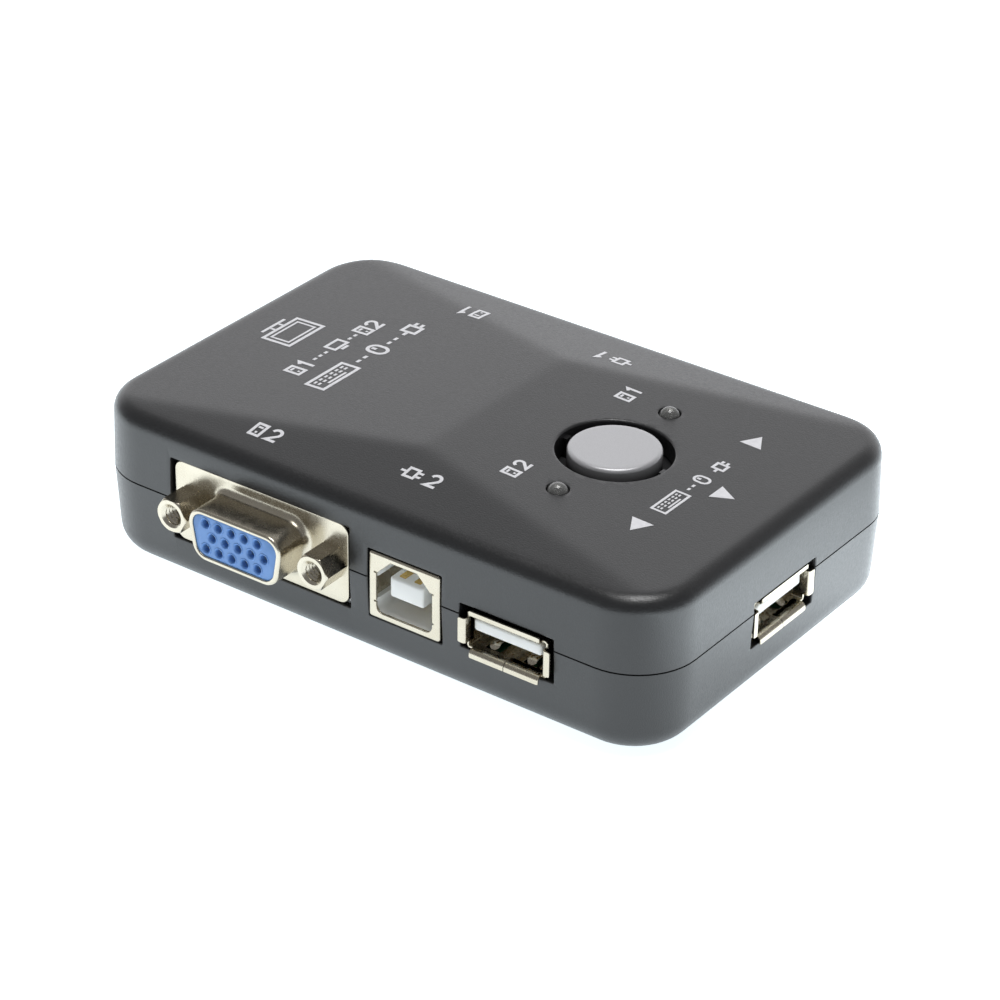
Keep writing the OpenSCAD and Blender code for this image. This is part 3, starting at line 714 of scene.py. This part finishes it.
def bottom_cover():
    """Lofted tray with a lip that the top cover fits round, corner pads and screw counterbores."""
    height = PART_Z - PAD_H
    lip_top = PART_Z + LIP_H
    rings = inner_rings(-1, height - WALL, 2, BOTTOM_DRAFT)[::-1]
    rings += [plan_ring(WALL, PART_Z - 1), plan_ring(WALL, lip_top), plan_ring(LIP_INSET, lip_top)]
    rings += [plan_ring(LIP_INSET, PART_Z)] + wall_rings(-1, height - BOTTOM_ROUND, BOTTOM_DRAFT)
    for inset, rise in rounded(BOTTOM_ROUND, 0, 90, 10):
        rings.append(plan_ring(BOTTOM_DRAFT + inset, PAD_H + rise))
    cover = new_object("bottom_cover_skin", loft(rings))
    boolean(cover, corner_pads(), "UNION")
    soft_r = SCREW_HEAD_R + 0.25
    for spot in SCREW_PLACES:
        join(cover, turned([(BOSS_R, 1.35), (BOSS_R, BOSS_TOP)], spot, 48))
        recess = [(soft_r, -1), (soft_r, 0.0), (SCREW_HEAD_R, 0.25), (SCREW_HEAD_R, HEAD_SEAT_Z)]
        cut(cover, turned(recess, spot, 48))
        cut(cover, turned([(SCREW_HOLE_R, 0), (SCREW_HOLE_R, BOSS_TOP + 1.4)], spot, 32))
    cut_sockets(cover)
    keep(cover, "case_plastic", 38, "bottom_cover")


# ---- button and lights


def button_cap():
    """Turned cap with a guide flange and a hollow underside, notched for the two ribs."""
    top, inner_r = BUTTON.z, BUTTON_R - 1.2
    roof, flange_low = top - 1.6, FLANGE_TOP - FLANGE_T
    profile = [(PEG_BORE, 19.9), (PEG_BORE, PEG_LOW), (PEG_R, PEG_LOW), (PEG_R, roof), (inner_r, roof)]
    profile += [(inner_r, flange_low), (FLANGE_R - 0.1, flange_low), (FLANGE_R, flange_low + 0.1)]
    profile += [(FLANGE_R, FLANGE_TOP - 0.1), (FLANGE_R - 0.1, FLANGE_TOP)]
    profile += [(BUTTON_R + 0.15, FLANGE_TOP), (BUTTON_R, FLANGE_TOP + 0.15), (BUTTON_R, top - 2)]
    profile += [(BUTTON_R - inset, top - drop) for inset, drop in rounded(BUTTON_EDGE, 0, 90, 8)]
    profile += [(BUTTON_R - BUTTON_EDGE - 0.6, top), (3, top), (1, top)]
    cap = new_object("select_button_cap", turned(profile, BUTTON.xy, 128))
    for notch in rib_boxes(0.3, flange_low - 0.5, FLANGE_TOP + 0.5):
        cut(cap, notch)
    keep(cap, "silver_paint", 38, "select_button", body="button")


def switch_spring():
    """Round-wire helix with flat end turns."""
    low, high = box_mm("switch_spring")
    length = high.z - low.z
    foot = Vector((*middle_mm("switch_spring").xy, low.z))
    radius = (high.x - low.x - SPRING_WIRE) / 2
    end_gap, flat, per_turn = 0.02, 0.5, 28
    climb = length - SPRING_WIRE - 2 * end_gap
    section = circle_points(SPRING_WIRE / 2, 10)
    rings = []
    for i in range(round(SPRING_TURNS * per_turn) + 1):
        turn = i / per_turn
        a = 2 * pi * turn
        out = Vector((cos(a), sin(a), 0))
        share = min(max((turn - flat) / (SPRING_TURNS - 2 * flat), 0), 1)
        spot = foot + Vector((0, 0, SPRING_WIRE / 2 + end_gap + climb * share)) + out * radius
        rings.append([spot + out * p.x + Vector((0, 0, p.y)) for p in section])
    coil = new_object("switch_spring_coil", loft(rings))
    keep(coil, "spring_steel", 60, "switch_spring")
    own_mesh(coil)


def light_lens(node):
    """Clear lamp with a collar and a domed end, round a small cup and post of steel."""
    low, high = box_mm(node)
    x, y = middle_mm(node).xy
    collar = LIGHT_R + LIGHT_COLLAR
    profile = [(1.0, low.z), (collar - 0.1, low.z), (collar, low.z + 0.1), (collar, low.z + 0.9)]
    profile += [(collar - 0.1, low.z + 1), (LIGHT_R, low.z + 1)]
    profile += curve((0, high.z - LIGHT_R), (LIGHT_R, LIGHT_R), 0, 86, 12)
    keep(new_object(node + "_lens", turned(profile, (x, y), 64)), "clear_lens", 35, node)
    foot, rim, floor_z = low.z + 1.2, high.z - 2.9, high.z - 3.3
    cup_profile = [(0.5, foot), (0.62, foot), (0.85, rim), (0.7, rim), (0.45, floor_z), (0.12, floor_z)]
    cup = turned(cup_profile, (x, y + 0.1), 32)
    box_mesh((x - 0.3, y - 1.15, foot), (x + 0.3, y - 0.7, rim), bm=cup)
    keep(new_object(node + "_cup", cup), "tinned_steel", 35)


# ---- monitor sockets


def hand_over(body, name, part, slot, matrix):
    """Moves a piece drawn in its socket's own frame to the socket's place, and keeps it."""
    shift = matrix.copy()
    shift.translation = matrix.translation * MM
    body.data.transform(shift)
    body.name = f"{name}_{part}_skin"
    keep(body, slot, 40, f"{name}_{part}")


def d_ring(grow, y):
    """D-shaped ring, wide side up, at a depth."""
    return standing(outline(D_CORNERS, D_R + grow, D_ARC, run=[D_RUN, 2, D_RUN, 2]), y, PART_Z)


def flange_ring(inset, y):
    """Flange outline with as many points as d_ring, started at the corner that matches."""
    corners = rect_corners(FLANGE_W / 2 - FLANGE_CORNER, FLANGE_H / 2 - FLANGE_CORNER)
    points = outline(corners, FLANGE_CORNER - inset, D_ARC, run=[2, D_RUN, 2, D_RUN])
    start = len(points) - (D_ARC + D_RUN)
    return standing(points[start:] + points[:start], y, PART_Z)


def vga_shell(name, matrix):
    """Pressed flange that runs into a D-shaped shell with a rolled front rim, as one skin."""
    back = FLANGE_Y + PLATE_T
    front = FLANGE_Y - SNOUT
    edge, base, rim, lead = 0.15, 1.15, 0.42, 0.2
    rings = [flange_ring(0, back - edge), flange_ring(0, FLANGE_Y + edge)]
    rings += [flange_ring(inset, FLANGE_Y + deep) for inset, deep in rounded(edge, 30, 90, 2)]
    rings += [d_ring(1.7, FLANGE_Y)]
    rings += [d_ring(grow, FLANGE_Y - rise) for rise, grow in rounded(base, 0, 90, 6)]
    rings += [d_ring(0, y) for y in (-2.0, -3.5)]
    rings += [d_ring(-inset, front + deep) for inset, deep in rounded(rim, 0, 90, 6)]
    for a in arc_steps(30, 90, 3):
        rings.append(d_ring(-rim - (SHELL_WALL - rim) * sin(a), front + lead * (1 - cos(a))))
    rings += [d_ring(-SHELL_WALL, back), d_ring(0.6, back), flange_ring(edge, back)]
    shell = new_object(name + "_shell_skin", moved(loft(rings, cyclic=True), matrix))
    for s in (-1, 1):
        cut(shell, upright(turned([(1.6, -3), (1.6, 1)], (s * SCREW_GAP / 2, PART_Z), 32), matrix))
    keep(shell, "nickel_plate", 40, name + "_shell")


def hex_radius(angle):
    sector = pi / 3
    return SCREW_FLATS / 2 / cos((angle + sector / 2) % sector - sector / 2)


def jackscrew(centre, bm):
    """Hexagonal standoff with a turned chamfer, a countersunk mouth and a real thread in its bore."""
    steps = 96

    def ring(z, radius_at):
        """Ring round the screw's axis, with a function for the radius at a share of a turn."""
        spots = [(2 * pi * i / steps, radius_at(i / steps)) for i in range(steps)]
        return [(centre[0] + r * cos(a), centre[1] + r * sin(a), z) for a, r in spots]

    def hex_ring(z, limit):
        return ring(z, lambda t: min(hex_radius(2 * pi * t + pi / 6), limit))

    def bore_ring(z, radius, depth=0):
        return ring(z, lambda t: radius + depth * (1 - abs(2 * ((z / THREAD_PITCH - t) % 1.0) - 1)))

    top, low = SCREW_LEN - FLANGE_Y, -FLANGE_Y
    shank_r, shank_len = 1.4, 3.5
    chamfer, face_r, mouth_r = 0.4, 2.42, 1.84
    full_r, slope = 2.78, 1.3
    rings = [bore_ring(low - shank_len, shank_r), bore_ring(low, shank_r)]
    rings += [hex_ring(low, 2.6), hex_ring(low + 0.15, 2.8), hex_ring(top - chamfer, 2.8)]
    for k in range(1, 7):
        limit = full_r - (full_r - face_r) * (k / 6) ** slope
        rings.append(hex_ring(top - chamfer * (1 - k / 6), limit))
    rings += [hex_ring(top, face_r - 0.06), bore_ring(top, mouth_r)]
    rings.append(bore_ring(top - 0.05, mouth_r - 0.06))
    stages, depth = 48, 3.6
    for k in range(stages + 1):
        down = depth * k / stages
        crest = BORE_R + max(0.0, 0.5 - down) * 1.1
        rings.append(bore_ring(top - 0.1 - down, crest, max(THREAD_R, crest) - crest + 0.02))
    loft(rings, bm=bm)


def vga_jackscrews(name, matrix):
    bm = bmesh.new()
    for s in (-1, 1):
        jackscrew((s * SCREW_GAP / 2, PART_Z), bm)
    screws = new_object(name + "_jackscrews_skin", upright(bm, matrix))
    keep(screws, "nickel_plate", 30, name + "_jackscrews")


def vga_insulator(name, matrix):
    """Blue body with fifteen holes, each with a funnel mouth inside a low raised ring."""
    front, back = FLANGE_Y - SNOUT + 0.22, FLANGE_Y + PLATE_T
    fit = SHELL_WALL + 0.02
    body = tool(loft([d_ring(-fit - 0.12, front), d_ring(-fit, front + 0.1), d_ring(-fit, back)]))
    face = -front
    collar = [(0.92, face - 0.3), (0.92, face + 0.03), (0.86, face + 0.1), (0.66, face + 0.1)]
    mouth = [(0.58, face - 3.5), (0.58, face - 0.16), (0.62, face - 0.06), (0.79, face + 0.12)]
    mouth.append((0.79, face + 1))
    collars, holes = bmesh.new(), bmesh.new()
    for row, shift in ((-1, -ROW_SHIFT), (0, ROW_SHIFT), (1, -ROW_SHIFT)):
        for i in range(-2, 3):
            spot = (i * PITCH_X + shift, PART_Z + row * PITCH_Z)
            turned(collar, spot, 24, bm=collars)
            turned(mouth, spot, 24, bm=holes)
    join(body, upright(collars))
    cut(body, upright(holes))
    rear = 8
    join(body, loft([panel(17.4, 10.4, 0.8, PART_Z, y) for y in (back - 0.01, rear)]))
    join(body, box_mesh((-8.7, 4.5, 7.2), (8.7, rear, PART_Z)))
    hand_over(body, name, "insulator", "blue_plastic", matrix)


# ---- square USB sockets


def square_mouth(grow):
    """Outline of the square plug's mouth: two round corners below and two long chamfers above."""
    side, top, chamfer, low_r = 4.72, 4.23, 2.5, 1.05
    slant = grow * tan(radians(22.5))
    points = []
    for start, x in ((180, low_r - side), (270, side - low_r)):
        points += curve((x, low_r - top), (low_r + grow, low_r + grow), start, start + 90, 5)
    points += [(side + grow, top - chamfer + slant), (side - chamfer + slant, top + grow)]
    return points + [(-x, z) for x, z in points[:-3:-1]]


def mouth_ring(grow, y):
    return [(x, y, SQUARE_MOUTH_Z + z) for x, z in square_mouth(grow)]


def square_shell(name, matrix):
    """Folded sheet box: a front plate with the mouth and latch slots, and a soft edge on every fold."""
    def ring(inset, y):
        return panel(SQUARE_W - 2 * inset, SQUARE_H - 2 * inset, max(0.5 - inset, 0.12), SQUARE_MID, y)

    fold, soft = 0.4, 0.12
    rings = [ring(0, SQUARE_DEPTH), ring(0, fold)]
    rings += [ring(inset, y) for inset, y in rounded(fold, 22, 90, 3)]
    outer = tool(loft(rings + [ring(2 * fold, 0)]))
    cut(outer, loft([ring(SHEET, SHEET), ring(SHEET, SQUARE_DEPTH + 1)]))
    stages = [(0, 1.0), (0, soft)] + rounded(soft, 35, 90, 2) + [(soft, -0.5)]
    cut(outer, loft([mouth_ring(grow, y) for grow, y in stages]))
    for x0, x1 in ((-5.05, -4.5), (4.5, 5.05)):
        for z in (SQUARE_MOUTH_Z - 2.55, SQUARE_MOUTH_Z + 2.0):
            cut(outer, box_mesh((x0, -0.5, z - 0.14), (x1, 1.0, z + 0.14)))
    hand_over(outer, name, "shell", "nickel_plate", matrix)


def square_insulator(name, matrix):
    """White liner behind the mouth, with a square tongue in it and a window in each side."""
    width, height = SQUARE_W - 2 * SHEET - 0.04, SQUARE_H - 2 * SHEET - 0.04
    body = tool(loft([panel(width, height, 0.1, SQUARE_MID, y, 2) for y in (SHEET + 0.01, 15.8)]))
    cavity = ((0.45, 0), (0.35, 0.6), (0.15, 1.0), (0.15, 9.3))
    cut(body, loft([mouth_ring(grow, y) for grow, y in cavity]))
    for x0, x1 in ((-7, -4.5), (4.5, 7)):
        cut(body, box_mesh((x0, 0.5, SQUARE_MOUTH_Z - 2.45), (x1, 8.0, SQUARE_MOUTH_Z + 1.0)))
    tongue = ((0, 9.4), (0, 0.95), (0.08, 0.75), (0.3, 0.6))
    join(body, loft([panel(5.65 - 2 * inset, 3.1 - 2 * inset, 0.3, 12.9, y) for inset, y in tongue]))
    hand_over(body, name, "insulator", "white_plastic", matrix)


# ---- flat USB sockets


def bent_strip(path, widths, thickness, turn, bm):
    """Strip of sheet metal bent along (depth, offset) points, with a (left, right) pair at each."""
    rings = []
    soft = min(0.06, thickness / 4)
    for i, (y, z) in enumerate(path):
        before, after = Vector(path[max(i - 1, 0)]), Vector(path[min(i + 1, len(path) - 1)])
        run = (after - before).normalized()
        out = Vector((-run.y, run.x)) * thickness / 2
        left, right = widths[i]
        section = [(left + soft, 1), (right - soft, 1), (right, 0.6), (right, -0.6)]
        section += [(right - soft, -1), (left + soft, -1), (left, -0.6), (left, 0.6)]
        rings.append([turn @ Vector((x, y + out.x * s, z + out.y * s)) for x, s in section])
    return loft(rings, bm=bm)


def flare_path(half, rise, bend):
    """Lip's path from inside the tube: straight out, round a bend, then outward as far as rise."""
    front = FLAT_SHEET / 2
    path = [(LIP_LEN + 1.2, half), (LIP_LEN + 0.5, half), (LIP_LEN + 0.15, half)]
    for a in arc_steps(8, 90, 6):
        path.append((front + bend * (1 - sin(a)), half + bend * (1 - cos(a))))
    return path + [(front, half + bend + (rise - bend) * t) for t in (0.5, 0.9, 1.0)]


def flat_tube():
    """The flat socket's tube, with a window in its floor round each spring finger."""
    def ring(inset, y):
        return panel(FLAT_W - 2 * inset, FLAT_H - 2 * inset, max(0.5 - inset, 0.2), FLAT_Z, y)

    y = LIP_LEN + 0.1
    rings = [ring(0, FLAT_DEPTH), ring(0, y + 0.05), ring(0.05, y), ring(FLAT_SHEET - 0.05, y)]
    rings += [ring(FLAT_SHEET, y + 0.05), ring(FLAT_SHEET, FLAT_DEPTH)]
    tube = tool(loft(rings, cyclic=True))
    for x in FINGERS:
        cut(tube, box_mesh((x - 1.2, 1.9, FLAT_FLOOR - 1), (x + 1.2, 7.4, FLAT_FLOOR + 0.02)))
    bm = bmesh.new()
    bm.from_mesh(tube.data)
    bmesh.ops.scale(bm, vec=[1 / MM] * 3, verts=bm.verts)
    bpy.data.objects.remove(tube)
    return bm


def flat_lips(bm):
    """Four flared lips round the tube's mouth, with a seam in the lower one."""
    centre = Matrix.Translation((0, 0, FLAT_Z))
    seam = 0.05
    lips = [(0, 5.75, FLAT_H, 0.78, 0.3), (180, 5.65, FLAT_H, 1.02, 0.6)]
    lips += [(turn, 1.95, FLAT_W, 1.05, 0.3) for turn in (90, 270)]
    for turn, half, size, rise, bend in lips:
        path = flare_path(size / 2 - FLAT_SHEET / 2, rise, bend)
        spin = centre @ Matrix.Rotation(radians(turn), 4, "Y")
        corner = [0.0] * (len(path) - 2) + [0.04, 0.2]
        if turn == 180:
            bent_strip(path, [(-half + c, -seam) for c in corner], FLAT_SHEET, spin, bm)
            bent_strip(path, [(seam, half - c) for c in corner], FLAT_SHEET, spin, bm)
        else:
            bent_strip(path, [(-half + c, half - c) for c in corner], FLAT_SHEET, spin, bm)


def flat_fingers(bm):
    """Two spring fingers that rise from the tube's floor and taper to rounded tips."""
    shape = [(7.7, -0.1, 0.78), (7.3, 0.05, 0.78), (5.4, 0.36, 0.78), (3.5, 0.74, 0.78), (3.0, 0.8, 0.78),
             (2.75, 0.72, 0.78), (2.45, 0.48, 0.76), (2.2, 0.24, 0.64), (2.05, 0.04, 0.34)]
    for x in FINGERS:
        path = [(y, FLAT_FLOOR + rise) for y, rise, _ in shape]
        bent_strip(path, [(x - half, x + half) for _, _, half in shape], 0.2, Matrix.Identity(4), bm)


def flat_shell(name, matrix):
    """Folded tube with four flared lips and two spring fingers cut free of its floor."""
    bm = flat_tube()
    flat_lips(bm)
    flat_fingers(bm)
    keep(new_object(name + "_shell_skin", moved(bm, matrix)), "nickel_plate", 40, name + "_shell")


def flat_insulator(name, matrix):
    """White tongue with round edges in the upper half of the tube, on a block that fills the back."""
    inner_w, inner_h = FLAT_W - 2 * FLAT_SHEET - 0.04, FLAT_H - 2 * FLAT_SHEET - 0.04
    tongue = []
    for inset, y in ((0, 9.7), (0, 1.5), (0.06, 1.2), (0.22, 1.05), (0.45, 1.0)):
        radius = max(0.5 - inset, 0.05)
        tongue.append(panel(11.1 - 2 * inset, 1.84 - 2 * inset, radius, FLAT_Z + 1, y))
    body = tool(loft(tongue))
    join(body, loft([panel(inner_w, inner_h, 0.2, FLAT_Z, y) for y in (9.5, FLAT_DEPTH)]))
    join(body, box_mesh((-5.1, 10.65, 7.2), (5.1, 13.55, FLAT_Z - 1)))
    hand_over(body, name, "insulator", "white_plastic", matrix)


def all_sockets():
    makers = {
        "vga": (vga_shell, vga_insulator, vga_jackscrews),
        "square": (square_shell, square_insulator),
        "flat": (flat_shell, flat_insulator),
    }
    for side, name, kind in SOCKETS:
        matrix = socket_matrix(side, name)
        if kind == "flat" and side != "usb_end":
            matrix = matrix @ Matrix.Translation((0, -SIDE_PROUD, 0))
        for maker in makers[kind]:
            maker(name, matrix)


# ---- printed marks


def pen_at(bm, origin, turn, scale=1.0):
    """Pen for one pictogram: its mesh, and what takes its own coordinates to the roof."""
    c, s = cos(radians(turn)) * scale, sin(radians(turn)) * scale
    return bm, lambda x, y: (origin[0] + c * x - s * y, origin[1] + s * x + c * y)


def mark(pen, outline_points):
    """Thin print on the roof from an outline in the pen's own coordinates."""
    bm, to_roof = pen
    spots = [to_roof(*p) for p in outline_points]
    rings = []
    for lift in (-0.12, PRINT_RISE):
        rings.append([(CASE_X + x, y, roof_height(x, y) + lift) for x, y in spots])
    loft(rings, bm=bm)


def stroke(pen, points, width, closed=False):
    """Line of even width with mitred corners, in short steps that follow the roof."""
    points = [Vector(p) for p in points]
    count = len(points)
    sides = []
    for i, here in enumerate(points):
        before = points[i - 1] if closed or i else here - (points[1] - here)
        after = points[(i + 1) % count] if closed or i < count - 1 else here + (here - points[i - 1])
        a, b = (here - before).normalized(), (after - here).normalized()
        normal = Vector((-(a + b).y, (a + b).x)).normalized()
        reach = width / 2 / max(normal.dot(Vector((-a.y, a.x))), 0.4)
        sides.append((here + normal * reach, here - normal * reach))
    for i in range(count if closed else count - 1):
        (l0, r0), (l1, r1) = sides[i], sides[(i + 1) % count]
        steps = max(1, round((points[(i + 1) % count] - points[i]).length / 1.2))
        left = [l0.lerp(l1, k / steps) for k in range(steps + 1)]
        right = [r0.lerp(r1, k / steps) for k in range(steps + 1)]
        mark(pen, right + left[::-1])


def stroke_box(pen, low, high, width):
    (x0, y0), (x1, y1) = low, high
    stroke(pen, [(x0, y0), (x1, y0), (x1, y1), (x0, y1)], width, closed=True)


def fill_box(pen, low, high):
    """Filled rectangle, cut into strips so that it follows the roof."""
    steps = max(1, round(high[1] - low[1]))
    for k in range(steps):
        y0, y1 = (low[1] + (high[1] - low[1]) * (k + j) / steps for j in (0, 1))
        mark(pen, [(low[0], y0), (high[0], y0), (high[0], y1), (low[0], y1)])


def link_dots(pen, places, low, high):
    """Dashes between two pictograms."""
    for x in places:
        fill_box(pen, (x, low), (x + 0.55, high))


def numeral(pen, number, x, width):
    """A stroke-drawn 1 or 2, 2.2 high, with its left edge at x."""
    if number == 1:
        stroke(pen, [(x + 0.05, 1.7), (x + 0.55, 2.12), (x + 0.55, 0)], width)
    else:
        top = curve((x + 0.7, 1.5), (0.62, 0.6), 165, -35, 9)
        stroke(pen, top + [(x + 0.12, 0.13), (x + 1.45, 0.13)], width)


def computer_mark(pen, x, width):
    """Upright computer case with one drive slot and a button."""
    stroke_box(pen, (x, 0.1), (x + 1.3, 2.1), width)
    stroke(pen, [(x + 0.32, 1.55), (x + 0.98, 1.55)], width * 0.8)
    fill_box(pen, (x + 0.5, 0.45), (x + 0.8, 0.75))


def screen_mark(pen, x, width):
    """Small screen on a foot."""
    stroke_box(pen, (x, 0.65), (x + 2.3, 2.1), width)
    stroke(pen, [(x + 0.55, 0.12), (x + 1.75, 0.12)], width)


def plug_mark(pen, x, width):
    """Plain two-pin plug with a cord."""
    stroke_box(pen, (x + 0.5, 0.35), (x + 1.75, 1.85), width)
    for y in (0.75, 1.45):
        stroke(pen, [(x + 1.85, y), (x + 2.5, y)], width)
    stroke(pen, [(x - 0.3, 1.1), (x + 0.4, 1.1)], width)


def keyboard_mark(pen, x, width):
    """Keyboard outline with two rows of keys and a long bar."""
    stroke_box(pen, (x, 0.15), (x + 5.2, 2.15), width)
    for y in (1.15, 1.62):
        for i in range(6):
            left = x + 0.48 + i * 0.76
            fill_box(pen, (left, y - 0.12), (left + 0.44, y + 0.12))
    fill_box(pen, (x + 1.3, 0.5), (x + 3.9, 0.74))


def mouse_mark(pen, x, width):
    """Mouse seen from above, with its wheel."""
    radii = (0.7, 0.72)
    body = curve((x + 0.75, 1.45), radii, 0, 180) + curve((x + 0.75, 0.85), radii, 180, 360)
    stroke(pen, body, width, closed=True)
    stroke(pen, [(x + 0.75, 1.3), (x + 0.75, 1.85)], width)


def arrow_mark(pen, width, height):
    """Filled triangle that points along its own +Y."""
    steps = 3
    for k in range(steps):
        y0, y1 = height * k / steps, height * (k + 1) / steps
        half0, half1 = (width / 2 * max(1 - y / height, 0.01) for y in (y0, y1))
        mark(pen, [(-half0, y0), (half0, y0), (half1, y1), (-half1, y1)])


def monitor_pictogram(bm):
    """Large outline of a desk monitor with a bright screen frame, read from the monitor end."""
    pen = pen_at(bm, (-41.4, 1.4), -90)
    stroke_box(pen, (-3.9, 1.5), (3.9, 6.4), 0.52)
    stroke_box(pen, (-3.0, 2.35), (3.0, 5.55), 0.36)
    for x in (-0.9, 0.9):
        stroke(pen, [(x, 0.5), (x, 1.3)], 0.4)
    stroke(pen, [(-2.6, 0.2), (2.6, 0.2)], 0.5)


def link_pictogram(bm):
    """Two computers that share one keyboard and mouse, drawn in two rows beside the monitor."""
    pen = pen_at(bm, (-27.9, -8.9), 90, 1.25)
    computer_mark(pen, 0, 0.4)
    numeral(pen, 1, 2.1, 0.44)
    link_dots(pen, (3.9, 4.9, 5.9), 0.9, 1.28)
    screen_mark(pen, 7.3, 0.4)
    link_dots(pen, (10.3, 11.3), 0.9, 1.28)
    computer_mark(pen, 12.5, 0.4)
    numeral(pen, 2, 14.4, 0.44)
    pen = pen_at(bm, (-21.9, -10.6), 90, 1.55)
    keyboard_mark(pen, 0, 0.34)
    link_dots(pen, (6.1, 7.1), 0.96, 1.3)
    mouse_mark(pen, 8.5, 0.36)
    link_dots(pen, (10.7, 11.7), 0.96, 1.3)
    plug_mark(pen, 13.3, 0.36)


def socket_labels(bm):
    """A pictogram and the computer's number over each computer socket, read from its own side."""
    sides = [(2, 0, (-23.2, -26.0), (0.9, -23.3)), (1, 180, (-17.8, 22.9), (7.6, 23.4))]
    for number, turn, computer_place, plug_place in sides:
        pen = pen_at(bm, computer_place, turn, 1.25)
        computer_mark(pen, 0.1, 0.38)
        numeral(pen, number, 2.3, 0.4)
        pen = pen_at(bm, plug_place, turn, 1.25)
        plug_mark(pen, 0.0, 0.36)
        numeral(pen, number, 3.4, 0.4)


def button_labels(bm):
    """Computer numbers beside the lights, a keyboard and mouse, and arrows to their sockets."""
    for number, start_y in ((1, 12.2), (2, -14.8)):
        pen = pen_at(bm, (14.3, start_y), 90, 1.12)
        computer_mark(pen, 0.1, 0.4)
        numeral(pen, number, 2.3, 0.42)
    pen = pen_at(bm, (35.2, -9.3), 90, 1.12)
    keyboard_mark(pen, 0, 0.34)
    link_dots(pen, (6.2, 7.2), 0.96, 1.32)
    mouse_mark(pen, 8.6, 0.36)
    plug_mark(pen, 12.2, 0.38)
    for origin, turn in (((33.8, -12.75), 180), ((33.9, 13.15), 0), ((37.0, -0.2), -90)):
        arrow_mark(pen_at(bm, origin, turn), 3.45, 3.05)


def printed_marks():
    bm = bmesh.new()
    monitor_pictogram(bm)
    link_pictogram(bm)
    socket_labels(bm)
    button_labels(bm)
    keep(new_object("top_print", bm), "case_plastic", 20, finish="white_print")


# ---- finishes of the carried-over pieces


NODE_FINISH = {
    "case_screws": "zinc_steel", "switch_plunger": "black_plastic", "switch_cover": "tinned_steel",
    "switch_housing": "switch_plastic", "switch_pins": "tinned_steel", "light_leads": "tinned_steel",
    "circuit_board": "board_laminate", "video_switch_chips": "chip_body", "usb_hub_chip": "chip_body",
    "control_chip": "chip_body", "crystal": "tinned_steel", "chip_resistors": "chip_body",
    "electrolytic_capacitors": "capacitor_sleeve", "chip_capacitors": "chip_ceramic",
}


def finish_nodes():
    for name, node in NODES.items():
        finish = NODE_FINISH.get(name)
        if name.endswith("_contacts"):
            finish = "gold_plate"
        elif name.endswith("_bracket"):
            finish = "tinned_steel"
        if finish:
            for spot in node.material_slots:
                spot.material = MATERIALS[finish]


# ---- studio


def levels_along(owner, position, side, steps, tint, unit):
    """One tint whose brightness changes along a direction, by (place, level) steps in a unit."""
    along = add_node(owner, "VectorMath", {0: position, 1: side}, operation="DOT_PRODUCT")
    start, end = steps[0][0], steps[-1][0]
    across = spread(owner, along.outputs["Value"], 0, 1, start * unit, end * unit)
    ramp = add_node(owner, "ValToRGB", {"Fac": across})
    stops = ramp.color_ramp.elements
    for number, (place, level) in enumerate(steps):
        share = (place - start) / (end - start)
        stop = stops[number] if number in (0, 1) else stops.new(share)
        stop.position = share
        stop.color = (*(level * part for part in tint), 1)
    return ramp.outputs["Color"]


def floor():
    """Wide pale light table, lit softly from below."""
    bm = bmesh.new()
    bm.faces.new([bm.verts.new((*p, 0)) for p in circle_points(TABLE_R, 48)])
    table = new_object("studio_floor", bm)
    material = new_material("floor_sheet", (0.7, 0.71, 0.72), 0.9, Emission_Strength=1.0)
    glow = levels_along(material, coordinates(material), TABLE_SIDE, TABLE_STEPS, TABLE_TINT, MM)
    drive(material, "Emission Color", glow)
    drive(material, "Roughness", spread(material, noise(material, 0.02), 0.8, 0.95))
    table.data.materials.append(material)


def aim_at(piece, place, aim, tilt=0.0):
    """Links a lamp or camera, put at a place and turned to an aim, both in millimetres."""
    start = Vector(place) * MM
    turn = (Vector(aim) * MM - start).to_track_quat("-Z", "Y").to_matrix()
    piece.location = start
    piece.rotation_euler = (turn @ Matrix.Rotation(tilt, 3, "Z")).to_euler()
    bpy.context.scene.collection.objects.link(piece)


def studio_light():
    """Pale room, bright low down behind the object, and a soft box overhead."""
    world = bpy.data.worlds.new("studio")
    bpy.context.scene.world = world
    world.use_nodes = True
    sky = levels_along(world, coordinates(world, "Generated"), BRIGHT_SIDE, WORLD_STEPS, WORLD_TINT, 1)
    world.node_tree.links.new(sky, world.node_tree.nodes["Background"].inputs["Color"])
    light = bpy.data.lights.new("overhead_softbox", "AREA")
    light.size = SOFTBOX_SIZE * MM
    light.energy = SOFTBOX_WATTS
    aim_at(bpy.data.objects.new("overhead_softbox", light), SOFTBOX_PLACE, (0, 0, 0))
    bpy.context.scene.view_settings.view_transform = "Standard"


def camera():
    """Looks down on the computer-two side from the single USB end, through a long lens."""
    data = bpy.data.cameras.new("camera")
    data.lens = LENS
    data.sensor_width = 36
    data.clip_start, data.clip_end = 0.01, 20
    viewer = bpy.data.objects.new("camera", data)
    aim_at(viewer, CAMERA_PLACE, CAMERA_AIM, CAMERA_TILT)
    bpy.context.scene.camera = viewer


camera()
top_cover()
bottom_cover()
button_cap()
switch_spring()
for lamp_node in ("light_1", "light_2"):
    light_lens(lamp_node)
all_sockets()
printed_marks()
finish_nodes()
floor()
studio_light()
